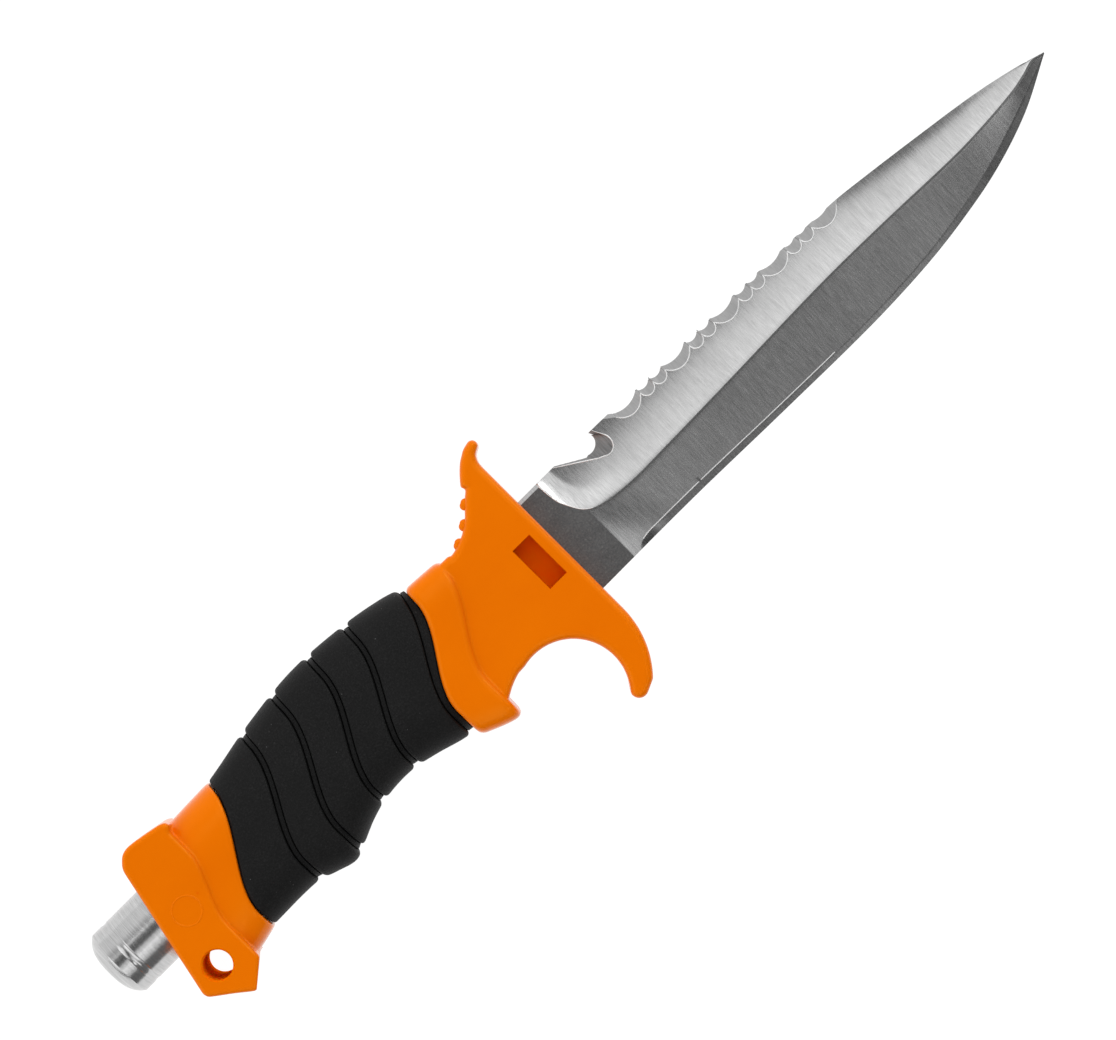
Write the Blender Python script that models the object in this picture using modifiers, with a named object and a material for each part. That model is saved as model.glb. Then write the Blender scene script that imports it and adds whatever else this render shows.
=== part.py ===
"""Rigging knife with a fixed stainless blade, a moulded hand guard, a rubber grip, a butt cap with a
lanyard hole and a screw-on steel pommel that clamps the whole stack on the tang.

Sizes are millimetres in the knife's own frame: +X to the tip with x = 0 on the guard's front face, +Y to
the spine with y = 0 on the pommel's axis, and z = 0 on the blade's middle plane. The functions that make
meshes turn them into metres, and the empty "knife" puts the underside's centre on the world's origin.
"""

import math

import bmesh
import bpy
from mathutils import Vector

MM = 0.001
GAP = 0.3  # between pieces that meet face to face
SMALL_GAP = 0.15  # round the small turned pieces

# Overall
TIP_X = 138.0
POMMEL_END_X = -124.1
HANDLE_HALF = 10.6  # half the thickness of the guard's collar and the butt cap

# Blade
BLADE_HALF = 1.6
RICASSO_TOP_Y = 8.75
RICASSO_BOTTOM_Y = -15.45
SHOULDER_X = -5.0
PLUNGE_X = 5.1  # where the upper bevel starts on the spine
PLUNGE_END_X = 22.0  # where its curved start runs out into the ridge
RIDGE_Y = -4.3
HEEL_X = 8.7  # where the lower bevel starts
HEEL_RUN = 1.2
EDGE_START_X = 10.9
EDGE_RUN = 1.8
UPPER_SLOPE = 0.078
LOWER_SLOPE = 0.136
SPINE_HALF = 0.7
EDGE_BEVEL_HALF = 0.35  # half thickness where the sharpened bevel starts
EDGE_HALF = 0.05
SPINE = [(-10, 8.75), (10, 8.75), (25, 8.55), (50, 7.9), (86, 6.75), (95, 5.8), (110, 3.8), (122, 2.0),
         (131, 0.1), (138, -1.9)]
EDGE = [(-10, -15.45), (25, -15.4), (50, -15.9), (75, -16.2), (91, -15.55), (103, -14.15), (115, -11.8),
        (127, -7.8), (138, -2.15)]
RIDGE = [(22, -4.3), (46, -3.8), (74, -3.1), (91, -3.3), (111, -3.9), (120, -3.6), (128, -2.9),
         (132, -2.1), (135, -1.3), (138, -1.97)]
EDGE_BEVEL_WIDTH = [(10, 1.3), (60, 1.25), (95, 1.4), (115, 1.8), (128, 1.6), (138, 0.06)]

# Tang and stud
TANG_HALF_WIDTH = 6.0
TANG_NECK_X = -60.0
TANG_END_HALF_WIDTH = 3.6
TANG_END_NECK_X = -72.0
TANG_END_X = -85.5
STUD_HEAD_RADIUS = 5.2
STUD_HEAD_FRONT_X = -74.0
STUD_HEAD_REAR_X = -89.0
STUD_RADIUS = 4.0
STUD_END_X = -116.6
PIN_X = -79.5
PIN_RADIUS = 1.0

# Line cutter on the far and on the near face of the blade: its ramp's start and end, the hook's centre,
# radius and angles, and the hook's lip
NOTCH = [((8.95, 9.6), (15.6, 5.72), (17.3, 7.9), 2.35, 250, 368, (19.65, 8.6)),
         ((8.2, 9.6), (17.7, 3.55), (20.0, 5.0), 2.25, 236, 390, (20.75, 8.5))]
# Serrations on the spine, as they run out on the far face
SERRATION_START_X = 25.8
SERRATION_TOP_Y = 8.25
SERRATION_FALL = 0.0128
BIG_SCALLOP = (6.8, 1.05)  # width, depth
SMALL_SCALLOP = (3.4, 0.85)
SERRATION_GROUPS = 4
SERRATION_SHIFT = (0.15, -1.45)  # how far they have moved on the near face
NEAR_DEPTH = 0.9  # how much deeper they are there, as a share
NEAR_FACE_Z = 0.8
FAR_FACE_Z = -0.8

# Guard
GUARD_HALF = 9.4
EDGE_ROUND = 1.0
CHOIL_CENTRE = (-19.3, -26.3)
CHOIL_RADIUS = 11.3
HOOK_CENTRE = (-20.2, -21.0)
HOOK_RADIUS = 20.2
HOOK_TIP_CENTRE = (-9.05, -34.45)
HOOK_TIP_RADIUS = 1.95
HORN_TIP_CENTRE = (1.55, 23.1)
HORN_TIP_RADIUS = 1.15
RIB_CENTRES = [(-14.1, 11.2), (-10.6, 13.25), (-7.7, 16.05)]
RIB_RADIUS = 0.95
POCKET = (-7.6, -2.9, -8.0, 2.6)  # x from and to, y from and to
POCKET_FLOOR_Z = 4.2
COLLAR_STEP = 1.2  # how fast the collar's edges round off

# Wavy parting lines: x at the top, x at the bottom, and the y between which the line swings over
COLLAR_FRONT = (-19.4, -28.9, 9.6, -12.0)
COLLAR_REAR = (-28.4, -38.1, 9.0, -12.0)
SLEEVE_FRONT = (-29.7, -39.4, 12.3, -12.0)
GROOVES = [(-71.6, -80.6, 12.0, -12.0), (-61.9, -70.9, 12.0, -12.0), (-51.6, -60.9, 12.0, -12.0),
           (-42.1, -51.2, 12.0, -12.0)]
BUTT_FRONT = (-83.3, -94.0, 11.5, -13.0)
BUTT_LIP = (-95.0, -99.8, 5.8, -10.0)

# Grip: the crest of the lobes, and the hard core inside them
GRIP_TOP = [(-96, 12.7), (-84, 13.0), (-70, 15.5), (-56, 17.0), (-42, 16.1), (-33, 14.5), (-28, 12.9)]
GRIP_BOTTOM = [(-96, -16.5), (-82, -16.5), (-77.5, -17.9), (-73.2, -19.0), (-69.5, -17.6), (-65, -15.7),
               (-60, -14.4), (-53, -14.1), (-47, -15.3), (-41, -17.0), (-37, -17.6)]
GRIP_HALF = 10.3
GROOVE_DEPTH = 1.2
GROOVE_HALF_WIDTH = 0.65
CORE_TOP = [(-98, 9.7), (-84, 10.0), (-70, 12.4), (-56, 13.8), (-42, 12.9), (-30, 9.4), (-20, 8.9)]
CORE_BOTTOM = [(-98, -13.4), (-84, -13.4), (-73, -15.3), (-66, -13.4), (-56, -11.2), (-47, -12.0),
               (-40, -12.9), (-30, -12.6), (-20, -11.6)]
CORE_HALF = [(-98, 7.2), (-84, 7.2), (-38, 7.2), (-30, 6.9), (-20, 6.6)]
CORE_FRONT_X = -22.2
CORE_REAR_X = -97.2
SEAL_FRONT_X = -20.3
SOCKET_FRONT_X = -20.0
CORE_CELLS = [(-93.5, -91.0), (-71.0, -60.0), (-57.5, -46.5), (-44.0, -33.0), (-30.5, -24.5)]
CELL_WALL = 2.4
PEG_PLACES = [(-58.7, 9.6), (-58.7, -8.9), (-31.8, 7.7), (-31.8, -9.3)]
PEG_RADIUS = 0.9
SLEEVE_ROUNDNESS = 2.9  # 2 is an ellipse and more is squarer
COLLAR_ROUNDNESS = 7.0
BUTT_ROUNDNESS = 3.6
RING_POINTS = 32

# Butt cap
BUTT_COLLAR_TOP = [(-106, 12.4), (-96, 12.7), (-83, 13.05)]
BUTT_COLLAR_BOTTOM = [(-106, -18.6), (-100, -18.1), (-96, -17.2), (-93, -16.4)]
BUTT_COLLAR_HALF = 9.9
BUTT_CORNERS = [(-107.3, 11.4), (-106.6, 13.1), (-105.2, 14.5), (-103.3, 15.1), (-101.1, 14.9),
                (-95.0, 13.7), (-93.9, 13.0)]
BUTT_LUG = [(-100.4, -18.7), (-105.0, -22.6), (-105.7, -22.9), (-106.4, -22.6), (-112.0, -18.2),
            (-112.8, -17.1), (-112.9, -15.6)]
LANYARD_CENTRE = (-106.7, -14.1)
LANYARD_RADIUS = 3.1
SEAT_X = -104.2
SOCKET_REAR_X = -97.5
COUNTERBORE_RADIUS = 8.15
STUD_BORE_RADIUS = 4.35

# Pommel, washer and O-ring
POMMEL_RADIUS = 7.75
POMMEL_FRONT_X = -105.2
POMMEL_GROOVE_X = -117.7
POMMEL_GROOVE = (0.9, 0.3)  # half width and depth
POMMEL_END_ROUND = 3.6
POMMEL_FACE_RADIUS = 2.4
BORE_END_X = -118.2
WASHER_X = (-104.35, -105.05)
WASHER_RADII = (4.3, 7.7)
RING_RADIUS = 6.0
RING_THICKNESS_RADIUS = 0.75
RING_X = -105.95
THREAD_PITCH = 1.25
STUD_THREAD = (3.3, 3.95, (0.08, 0.4))  # root radius, crest radius, half widths at the crest and the root
BORE_THREAD = (3.55, 4.2, (0.14, 0.46))
THREAD_STEPS = 16
THREAD_ROWS = 6
ROUND_STEPS = 48


# ---- helpers -------------------------------------------------------------------------------------------

def clear_scene():
    for obj in list(bpy.data.objects):
        bpy.data.objects.remove(obj, do_unlink=True)


def make_material(name, colour, roughness, metallic=0.0):
    material = bpy.data.materials.new(name)
    material.use_nodes = True
    shader = material.node_tree.nodes["Principled BSDF"]
    shader.inputs["Base Color"].default_value = (*colour, 1.0)
    shader.inputs["Roughness"].default_value = roughness
    shader.inputs["Metallic"].default_value = metallic
    return material


def spline(points, x):
    """The height at x of a smooth line through points, which are in order of x."""
    if x <= points[0][0]:
        return points[0][1]
    if x >= points[-1][0]:
        return points[-1][1]
    i = max(k for k in range(len(points) - 1) if points[k][0] <= x)

    def slope(k):
        low, high = max(k - 1, 0), min(k + 1, len(points) - 1)
        return (points[high][1] - points[low][1]) / (points[high][0] - points[low][0])

    (x0, y0), (x1, y1) = points[i], points[i + 1]
    run = x1 - x0
    t = (x - x0) / run
    rise = 3 * t ** 2 - 2 * t ** 3
    return (y0 * (1 - rise) + y1 * rise + slope(i) * run * t * (1 - t) ** 2
            - slope(i + 1) * run * t ** 2 * (1 - t))


def smoothstep(t):
    t = min(max(t, 0.0), 1.0)
    return t * t * (3 - 2 * t)


def wave(line, y):
    """The x of a wavy parting line at y."""
    x_top, x_bottom, y_top, y_bottom = line
    return x_bottom + (x_top - x_bottom) * smoothstep((y - y_bottom) / (y_top - y_bottom))


def wave_stretch(line, y):
    """How much wider than its true width a groove along the line is in X, where the line leans."""
    step = 0.1
    lean = (wave(line, y + step) - wave(line, y - step)) / (2 * step)
    return math.hypot(1, lean)


def arc(centre, radius, start, end, steps):
    """Points on an arc, with its angles in degrees."""
    angles = [math.radians(start + (end - start) * i / steps) for i in range(steps + 1)]
    return [(centre[0] + radius * math.cos(a), centre[1] + radius * math.sin(a)) for a in angles]


def new_object(name, mesh, collection, material=None):
    obj = bpy.data.objects.new(name, mesh)
    collection.objects.link(obj)
    obj.parent = knife
    if material:
        mesh.materials.clear()
        mesh.materials.append(material)
    return obj


def mesh_from(name, points, faces):
    """A closed mesh from points in millimetres, with its faces turned to face out."""
    mesh = bpy.data.meshes.new(name)
    mesh.from_pydata([Vector(p) * MM for p in points], [], faces)
    bm = bmesh.new()
    bm.from_mesh(mesh)
    bmesh.ops.remove_doubles(bm, verts=bm.verts, dist=0.001 * MM)
    bmesh.ops.recalc_face_normals(bm, faces=bm.faces)
    bm.to_mesh(mesh)
    bm.free()
    return mesh


def loft(name, rings, ends_meet=False, strips=False):
    """A skin over rings of equally many points. Its ends are capped, or joined into a tube's wall. The
    caps are single faces, or strips across Z for wavy ends."""
    count = len(rings[0])
    points = [p for ring in rings for p in ring]
    faces = []
    for r in range(len(rings) if ends_meet else len(rings) - 1):
        here, there = r * count, (r + 1) % len(rings) * count
        for i in range(count):
            j = (i + 1) % count
            faces.append((here + i, here + j, there + j, there + i))
    for start in () if ends_meet else (0, (len(rings) - 1) * count):
        if strips:
            faces += [(start + i, start + i + 1, start + count - i - 1, start + (count - i) % count)
                      for i in range(count // 2)]
        else:
            faces.append(tuple(range(start, start + count)))
    return mesh_from(name, points, faces)


def plate(name, outline, half, edge_round):
    """A flat outline with its thickness and rounded rims, as a mesh made from a filled 2D curve."""
    curve = bpy.data.curves.new(name, "CURVE")
    curve.dimensions = "2D"
    curve.fill_mode = "BOTH"
    curve.extrude = (half - edge_round) * MM
    curve.bevel_depth = edge_round * MM
    curve.bevel_resolution = 1
    curve.offset = -edge_round * MM
    line = curve.splines.new("POLY")
    line.points.add(len(outline) - 1)
    for point, (x, y) in zip(line.points, outline):
        point.co = (x * MM, y * MM, 0, 1)
    line.use_cyclic_u = True
    drawn = bpy.data.objects.new(name, curve)
    bpy.context.scene.collection.objects.link(drawn)
    graph = bpy.context.evaluated_depsgraph_get()
    mesh = bpy.data.meshes.new_from_object(drawn.evaluated_get(graph))
    bpy.data.objects.remove(drawn)
    bm = bmesh.new()
    bm.from_mesh(mesh)
    bmesh.ops.remove_doubles(bm, verts=bm.verts, dist=0.005 * MM)
    bmesh.ops.recalc_face_normals(bm, faces=bm.faces)
    bm.to_mesh(mesh)
    bm.free()
    return mesh


def cylinder(name, radius, start, end, steps=ROUND_STEPS, rear_radius=None):
    """A round bar between two points, which narrows to rear_radius at its end if one is given."""
    start, end = Vector(start) * MM, Vector(end) * MM
    bm = bmesh.new()
    bmesh.ops.create_cone(bm, cap_ends=True, segments=steps, radius1=radius * MM,
                          radius2=(radius if rear_radius is None else rear_radius) * MM,
                          depth=(end - start).length)
    turn = (end - start).to_track_quat("Z", "Y").to_matrix().to_4x4()
    bmesh.ops.transform(bm, matrix=turn, verts=bm.verts)
    bmesh.ops.translate(bm, vec=(start + end) / 2, verts=bm.verts)
    mesh = bpy.data.meshes.new(name)
    bm.to_mesh(mesh)
    bm.free()
    return mesh


def box(name, low, high):
    low, high = Vector(low) * MM, Vector(high) * MM
    bm = bmesh.new()
    bmesh.ops.create_cube(bm, size=1.0)
    bmesh.ops.scale(bm, vec=high - low, verts=bm.verts)
    bmesh.ops.translate(bm, vec=(low + high) / 2, verts=bm.verts)
    mesh = bpy.data.meshes.new(name)
    bm.to_mesh(mesh)
    bm.free()
    return mesh


def turned(name, profile, collection, material):
    """A turned piece about the X axis. The profile holds (x, radius), from the rear end forwards."""
    mesh = bpy.data.meshes.new(name)
    points = [(radius * MM, 0, -x * MM) for x, radius in profile]
    mesh.from_pydata(points, [(i, i + 1) for i in range(len(points) - 1)], [])
    obj = new_object(name, mesh, collection, material)
    obj.rotation_euler = (0, -math.pi / 2, 0)
    screw = obj.modifiers.new("turn", "SCREW")
    screw.steps = ROUND_STEPS
    screw.render_steps = ROUND_STEPS
    screw.use_merge_vertices = True
    screw.merge_threshold = 0.01 * MM
    return obj


def helper(name, mesh):
    """A cutter or an added shape that isn't a piece of its own."""
    obj = new_object(name, mesh, cutters)
    obj.hide_render = True
    obj.display_type = "WIRE"
    return obj


def combine(target, mesh, operation):
    other = helper(f"{target.name}_{operation.lower()}_{len(target.modifiers)}", mesh)
    modifier = target.modifiers.new(operation.title(), "BOOLEAN")
    modifier.operation = operation
    modifier.object = other
    return other


def cut(target, mesh):
    return combine(target, mesh, "DIFFERENCE")


def join(target, mesh):
    return combine(target, mesh, "UNION")


def smooth(obj, degrees=35):
    mesh = obj.data
    mesh.shade_smooth()
    mesh.set_sharp_from_angle(angle=math.radians(degrees))


# ---- shared shapes -------------------------------------------------------------------------------------

def round_section(angle, top, bottom, half, roundness):
    """A point on a squarish oval section: (y, z)."""
    c, s = math.cos(angle), math.sin(angle)
    reach = (abs(c) ** roundness + abs(s) ** roundness) ** (-1 / roundness)
    return (top + bottom) / 2 + (top - bottom) / 2 * reach * c, half * reach * s


def skin_ring(edge, top, bottom, half, inset=0.0, roundness=SLEEVE_ROUNDNESS):
    """A ring round the handle whose x follows edge(y). The section changes with x, so x and y are found
    together."""
    ring = []
    for i in range(RING_POINTS):
        angle = 2 * math.pi * i / RING_POINTS
        x = edge(0.0)
        for _ in range(8):
            y, z = round_section(angle, top(x) - inset, bottom(x) + inset, half(x) - inset, roundness)
            x = edge(y)
        ring.append((x, y, z))
    return ring


def straight(x):
    return lambda y: x


def along(line, shift=0.0):
    """An edge that follows a wavy line, moved by a true distance shift."""
    return lambda y: wave(line, y) + shift * wave_stretch(line, y)


def between(rear, front, share):
    return lambda y: rear(y) + (front(y) - rear(y)) * share


def reading(points):
    return lambda x: spline(points, x)


def core_mesh(name, x_rear, x_front, grow=0.0):
    """The hard core's outer shape between two places, grown for a socket that takes it."""
    steps = max(2, round((x_front - x_rear) / 5))
    places = [x_rear + (x_front - x_rear) * i / steps for i in range(steps + 1)]
    rings = [skin_ring(straight(x), reading(CORE_TOP), reading(CORE_BOTTOM), reading(CORE_HALF), -grow)
             for x in places]
    return loft(name, rings)


def threaded_rod(name, root, crest, flats, x_front, x_rear):
    """A right-handed threaded rod about the X axis. flats holds the half widths of the thread at its crest
    and at its root, as shares of the pitch. The thread runs out over its first and last half turn."""
    steps = round((x_front - x_rear) / THREAD_PITCH * THREAD_ROWS)
    rings = []
    for i in range(steps + 1):
        x = x_front + (x_rear - x_front) * i / steps
        ends = min(1.0, (x_front - x) / THREAD_PITCH * 2, (x - x_rear) / THREAD_PITCH * 2)
        ring = []
        for k in range(THREAD_STEPS):
            turn = k / THREAD_STEPS
            off_crest = abs((x / THREAD_PITCH - turn + 0.5) % 1.0 - 0.5)
            height = min(max((flats[1] - off_crest) / (flats[1] - flats[0]), 0.0), 1.0)
            radius = root + (crest - root) * height * ends
            ring.append((x, radius * math.cos(2 * math.pi * turn), radius * math.sin(2 * math.pi * turn)))
        rings.append(ring)
    return loft(name, rings)


# ---- blade ---------------------------------------------------------------------------------------------

def ridge_y(x):
    """The upper bevel's lower limit: a squarish quarter round from the spine, then the ridge."""
    if x <= PLUNGE_X:
        return RICASSO_TOP_Y - 0.05
    if x >= PLUNGE_END_X:
        return spline(RIDGE, x)
    t = (PLUNGE_END_X - x) / (PLUNGE_END_X - PLUNGE_X)
    return RICASSO_TOP_Y - 0.05 - (RICASSO_TOP_Y - RIDGE_Y) * (1 - t ** 3) ** (1 / 3)


def blade_ring(x):
    """One section of the blade, from the spine round the edge and back."""
    spine, edge, ridge = spline(SPINE, x), spline(EDGE, x), ridge_y(x)
    width = spline(EDGE_BEVEL_WIDTH, x)
    bevel_y = edge + width
    half = min(BLADE_HALF, EDGE_BEVEL_HALF + LOWER_SLOPE * (ridge - bevel_y))
    if x <= PLUNGE_END_X:
        half = BLADE_HALF
    heel = smoothstep((x - HEEL_X) / HEEL_RUN)
    ground = min(EDGE_BEVEL_HALF, half)
    bevel_half = BLADE_HALF + (ground - BLADE_HALF) * heel
    sharp = smoothstep((x - EDGE_START_X) / EDGE_RUN)
    blunt = EDGE_BEVEL_HALF - LOWER_SLOPE * width
    edge_half = BLADE_HALF + (blunt + (EDGE_HALF - blunt) * sharp - BLADE_HALF) * heel
    spine_half = half - UPPER_SLOPE * (spine - ridge)
    if x > PLUNGE_END_X:
        spine_half = min(spine_half, SPINE_HALF)
    half_side = [(spine, max(spine_half, EDGE_HALF)), (ridge, half), (bevel_y, bevel_half),
                 (edge, edge_half)]
    return [(x, y, z) for y, z in half_side] + [(x, y, -z) for y, z in reversed(half_side)]


def tang_mesh():
    """The flat tang, narrower where the stud's fork takes it. It reaches a little into the blade."""
    half = BLADE_HALF - 0.05
    widths = [(TANG_END_X, TANG_END_HALF_WIDTH), (TANG_END_NECK_X, TANG_END_HALF_WIDTH),
              (TANG_NECK_X, TANG_HALF_WIDTH), (SHOULDER_X + 3, TANG_HALF_WIDTH)]
    rings = [[(x, w, half), (x, w, -half), (x, -w, -half), (x, -w, half)] for x, w in widths]
    return loft("tang", rings)


def blade_places():
    """Where the blade's sections stand: close together at the plunge and the tip."""
    heel = [SHOULDER_X, 0.0, PLUNGE_X, 5.25, 5.6, 6.2, 7.0, 7.9, HEEL_X, 9.1, 9.5, 9.9, EDGE_START_X,
            11.5, 12.1, 12.7, 14.5, 17.5, PLUNGE_END_X]
    body = [30.0 + 8.0 * i for i in range(8)]
    belly = [92.0 + 4.0 * i for i in range(10)]
    return heel + body + belly + [131.0, 133.5, 135.5, 137.0, TIP_X]


def scallop(x_from, top_y, width, depth, steps):
    """Points along a round scallop that hangs between two cusps, without its last one."""
    radius = width ** 2 / (8 * depth) + depth / 2
    points = []
    for i in range(steps):
        dx = width * (i / steps - 0.5)
        points.append((x_from + width * i / steps, top_y - math.sqrt(radius ** 2 - dx ** 2) + radius - depth))
    return points


def serration_outline(near):
    """Everything above the row of scallops: a wide one, then groups of two small ones and a wide one.
    The scallops are deeper and lower on the near face (1) than on the far face (0)."""
    row = [BIG_SCALLOP] + [SMALL_SCALLOP, SMALL_SCALLOP, BIG_SCALLOP] * SERRATION_GROUPS
    x = SERRATION_START_X + SERRATION_SHIFT[0] * near
    first_y = SERRATION_TOP_Y + SERRATION_SHIFT[1] * near
    outline = [(x - 1.0 - 0.9 * near, 9.3)]
    for width, depth in row:
        top_y = first_y - SERRATION_FALL * (x - SERRATION_START_X)
        outline += scallop(x, top_y, width, depth * (1 + NEAR_DEPTH * near), 8 if width > 4 else 6)
        x += width
    end_y = first_y - SERRATION_FALL * (x - SERRATION_START_X)
    return outline + [(x, end_y), (x + 1.6, end_y + 3.0), (x, 14.0), (SERRATION_START_X, 14.0)]


def notch_outline(near):
    """A long ramp down from the spine into a round hook, on the far face (0) or the near face (1)."""
    start, corner, centre, radius, first, last, lip = NOTCH[near]
    return [start, corner] + arc(centre, radius, first, last, 10) + [lip, (lip[0], 14.0), (8.0, 14.0)]


def between_outlines(name, far, near):
    """A cutter through the blade whose outline changes from the far face to the near face."""
    reach = BLADE_HALF + 0.2
    rings = []
    for z in (-reach, reach):
        share = (z - FAR_FACE_Z) / (NEAR_FACE_Z - FAR_FACE_Z)
        rings.append([(fx + (nx - fx) * share, fy + (ny - fy) * share, z)
                      for (fx, fy), (nx, ny) in zip(far, near)])
    return loft(name, rings)


def make_blade(material):
    blade = new_object("blade", loft("blade", [blade_ring(x) for x in blade_places()]), knife_parts,
                       material)
    join(blade, tang_mesh())
    cut(blade, between_outlines("notch", notch_outline(0), notch_outline(1)))
    cut(blade, between_outlines("serrations", serration_outline(0), serration_outline(1)))
    cut(blade, cylinder("pin_hole", PIN_RADIUS + SMALL_GAP, (PIN_X, 0, -3), (PIN_X, 0, 3), 16))
    return blade


# ---- stud and pin --------------------------------------------------------------------------------------

def make_stud(material):
    """The threaded rod whose forked head takes the end of the tang."""
    stud = new_object("tang_stud", cylinder("tang_stud", STUD_HEAD_RADIUS, (STUD_HEAD_FRONT_X, 0, 0),
                                            (STUD_HEAD_REAR_X, 0, 0)), knife_parts, material)
    thread_x = POMMEL_FRONT_X + 0.4
    join(stud, cylinder("shank", STUD_RADIUS, (STUD_HEAD_REAR_X + 2, 0, 0), (thread_x, 0, 0)))
    join(stud, threaded_rod("thread", *STUD_THREAD, thread_x + 1, STUD_END_X))
    slot = BLADE_HALF + SMALL_GAP
    cut(stud, box("fork", (TANG_END_X - GAP, -6, -slot), (STUD_HEAD_FRONT_X + 2, 6, slot)))
    cut(stud, cylinder("pin_hole", PIN_RADIUS + SMALL_GAP, (PIN_X, 0, -6), (PIN_X, 0, 6), 16))
    return stud


def make_pin(material):
    """The cross pin that locks the tang in the fork, hollow like a rolled spring pin."""
    length = STUD_HEAD_RADIUS - 0.3
    pin = new_object("stud_pin", cylinder("stud_pin", PIN_RADIUS, (PIN_X, 0, -length), (PIN_X, 0, length),
                                          16), knife_parts, material)
    cut(pin, cylinder("pin_bore", PIN_RADIUS / 2, (PIN_X, 0, -6), (PIN_X, 0, 6), 12))
    return pin


# ---- guard ---------------------------------------------------------------------------------------------

def guard_outline():
    """The guard seen from the side: flat front, thumb horn, ramp, finger choil and hook."""
    horn = [(0, 19.2), (0.25, 20.4), (1.0, 21.5)] + arc(HORN_TIP_CENTRE, HORN_TIP_RADIUS, -42, 110, 6)
    ramp = [(-1.7, 23.2), (-3.7, 21.5), (-5.9, 18.7), (-7.1, 16.3), (-9.3, 14.2), (-11.8, 12.4),
            (-14.2, 11.0), (-16.4, 10.45), (-17.3, 10.5), (-17.7, 11.1)]
    under_collar = [(wave(COLLAR_FRONT, y) - 2.5, y) for y in (11.0, 7.0, 3.0, -1.0, -5.0, -9.0, -14.0)]
    under_collar += [(-31.0, -18.3), (-29.0, -17.7), (-25.4, -15.9)]
    choil = arc(CHOIL_CENTRE, CHOIL_RADIUS, 104, -36, 16)
    tip = arc(HOOK_TIP_CENTRE, HOOK_TIP_RADIUS, 170, 300, 7)
    outer = arc(HOOK_CENTRE, HOOK_RADIUS, -44, 0, 9)
    return horn + ramp + under_collar + choil + tip + outer


def collar_mesh():
    """The raised band behind the guard, which ends below in a beak that stops the finger."""
    rear, front = along(COLLAR_REAR), along(COLLAR_FRONT)
    top = reading([(-38, 12.6), (-28, 12.4), (-19, 11.8)])
    bottom = reading([(-38.2, -18.6), (-36.5, -19.4), (-31.5, -21.4), (-28, -22.0)])
    rows = [(0.0, 1.0), (0.04, 0.3), (0.12, 0.0), (0.35, 0.0), (0.6, 0.0), (0.84, 0.0), (0.94, 0.35),
            (1.0, COLLAR_STEP)]
    rings = [skin_ring(between(rear, front, share), top, bottom, straight(HANDLE_HALF), inset,
                       COLLAR_ROUNDNESS) for share, inset in rows]
    return loft("collar", rings, strips=True)


def make_guard(material):
    guard = new_object("guard", plate("guard", guard_outline(), GUARD_HALF, EDGE_ROUND), knife_parts,
                       material)
    join(guard, collar_mesh())
    rib_half = GUARD_HALF - 1.2
    for x, y in RIB_CENTRES:
        join(guard, cylinder("rib", RIB_RADIUS, (x, y, -rib_half), (x, y, rib_half), 16))
    slot = BLADE_HALF + GAP
    cut(guard, box("blade_slot", (SHOULDER_X - GAP, RICASSO_BOTTOM_Y - GAP, -slot),
                   (5, RICASSO_TOP_Y + GAP, slot)))
    channel = TANG_HALF_WIDTH + GAP
    cut(guard, box("tang_channel", (-30, -channel, -slot - 0.01), (0, channel, slot + 0.01)))
    cut(guard, core_mesh("socket", -45, SOCKET_FRONT_X, GAP))
    x0, x1, y0, y1 = POCKET
    for side in (-1, 1):
        floor, mouth = sorted((side * POCKET_FLOOR_Z, side * (GUARD_HALF + 2)))
        cut(guard, box("latch_pocket", (x0, y0, floor), (x1, y1, mouth)))
    return guard


def make_seal(material):
    """A flat gasket round the tang, squeezed between the guard's socket and the core."""
    seal = new_object("tang_seal", core_mesh("tang_seal", CORE_FRONT_X + GAP, SEAL_FRONT_X), knife_parts,
                      material)
    channel, slot = TANG_HALF_WIDTH + SMALL_GAP, BLADE_HALF + SMALL_GAP
    cut(seal, box("seal_slot", (-30, -channel, -slot), (-10, channel, slot)))
    return seal


# ---- grip ----------------------------------------------------------------------------------------------

def make_core_half(name, side, material):
    """One of the two hard shells that close round the tang, with ribs across its hollow."""
    core = new_object(name, core_mesh(name, CORE_REAR_X, CORE_FRONT_X), knife_parts, material)
    low, high = sorted((side * SMALL_GAP, side * 30))
    keep = helper(f"{name}_half", box("half", (-110, -30, low), (-10, 30, high)))
    half = core.modifiers.new("Half", "BOOLEAN")
    half.operation = "INTERSECT"
    half.object = keep
    slot, channel = BLADE_HALF + GAP, TANG_HALF_WIDTH + GAP
    cut(core, box("tang_channel", (STUD_HEAD_FRONT_X - 1, -channel, -slot), (-10, channel, slot)))
    cut(core, cylinder("head_bore", STUD_HEAD_RADIUS + GAP, (STUD_HEAD_FRONT_X + GAP, 0, 0),
                       (STUD_HEAD_REAR_X - GAP, 0, 0), 24))
    cut(core, cylinder("stud_bore", STUD_RADIUS + GAP, (STUD_HEAD_REAR_X + 1, 0, 0), (-110, 0, 0), 24))
    for x_rear, x_front in CORE_CELLS:
        middle = (x_rear + x_front) / 2
        top = spline(CORE_TOP, middle) - CELL_WALL - 0.6
        bottom = spline(CORE_BOTTOM, middle) + CELL_WALL + 0.6
        depth = spline(CORE_HALF, middle) - CELL_WALL
        inner, outer = sorted((side * -1.0, side * depth))
        cut(core, box("cell", (x_rear, bottom, inner), (x_front, top, outer)))
    for x, y in PEG_PLACES:
        if side > 0:
            join(core, cylinder("peg", PEG_RADIUS, (x, y, -1.8), (x, y, 2.5), 12))
        else:
            cut(core, cylinder("peg_hole", PEG_RADIUS + SMALL_GAP, (x, y, -2.2), (x, y, 1), 12))
    return core


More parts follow.
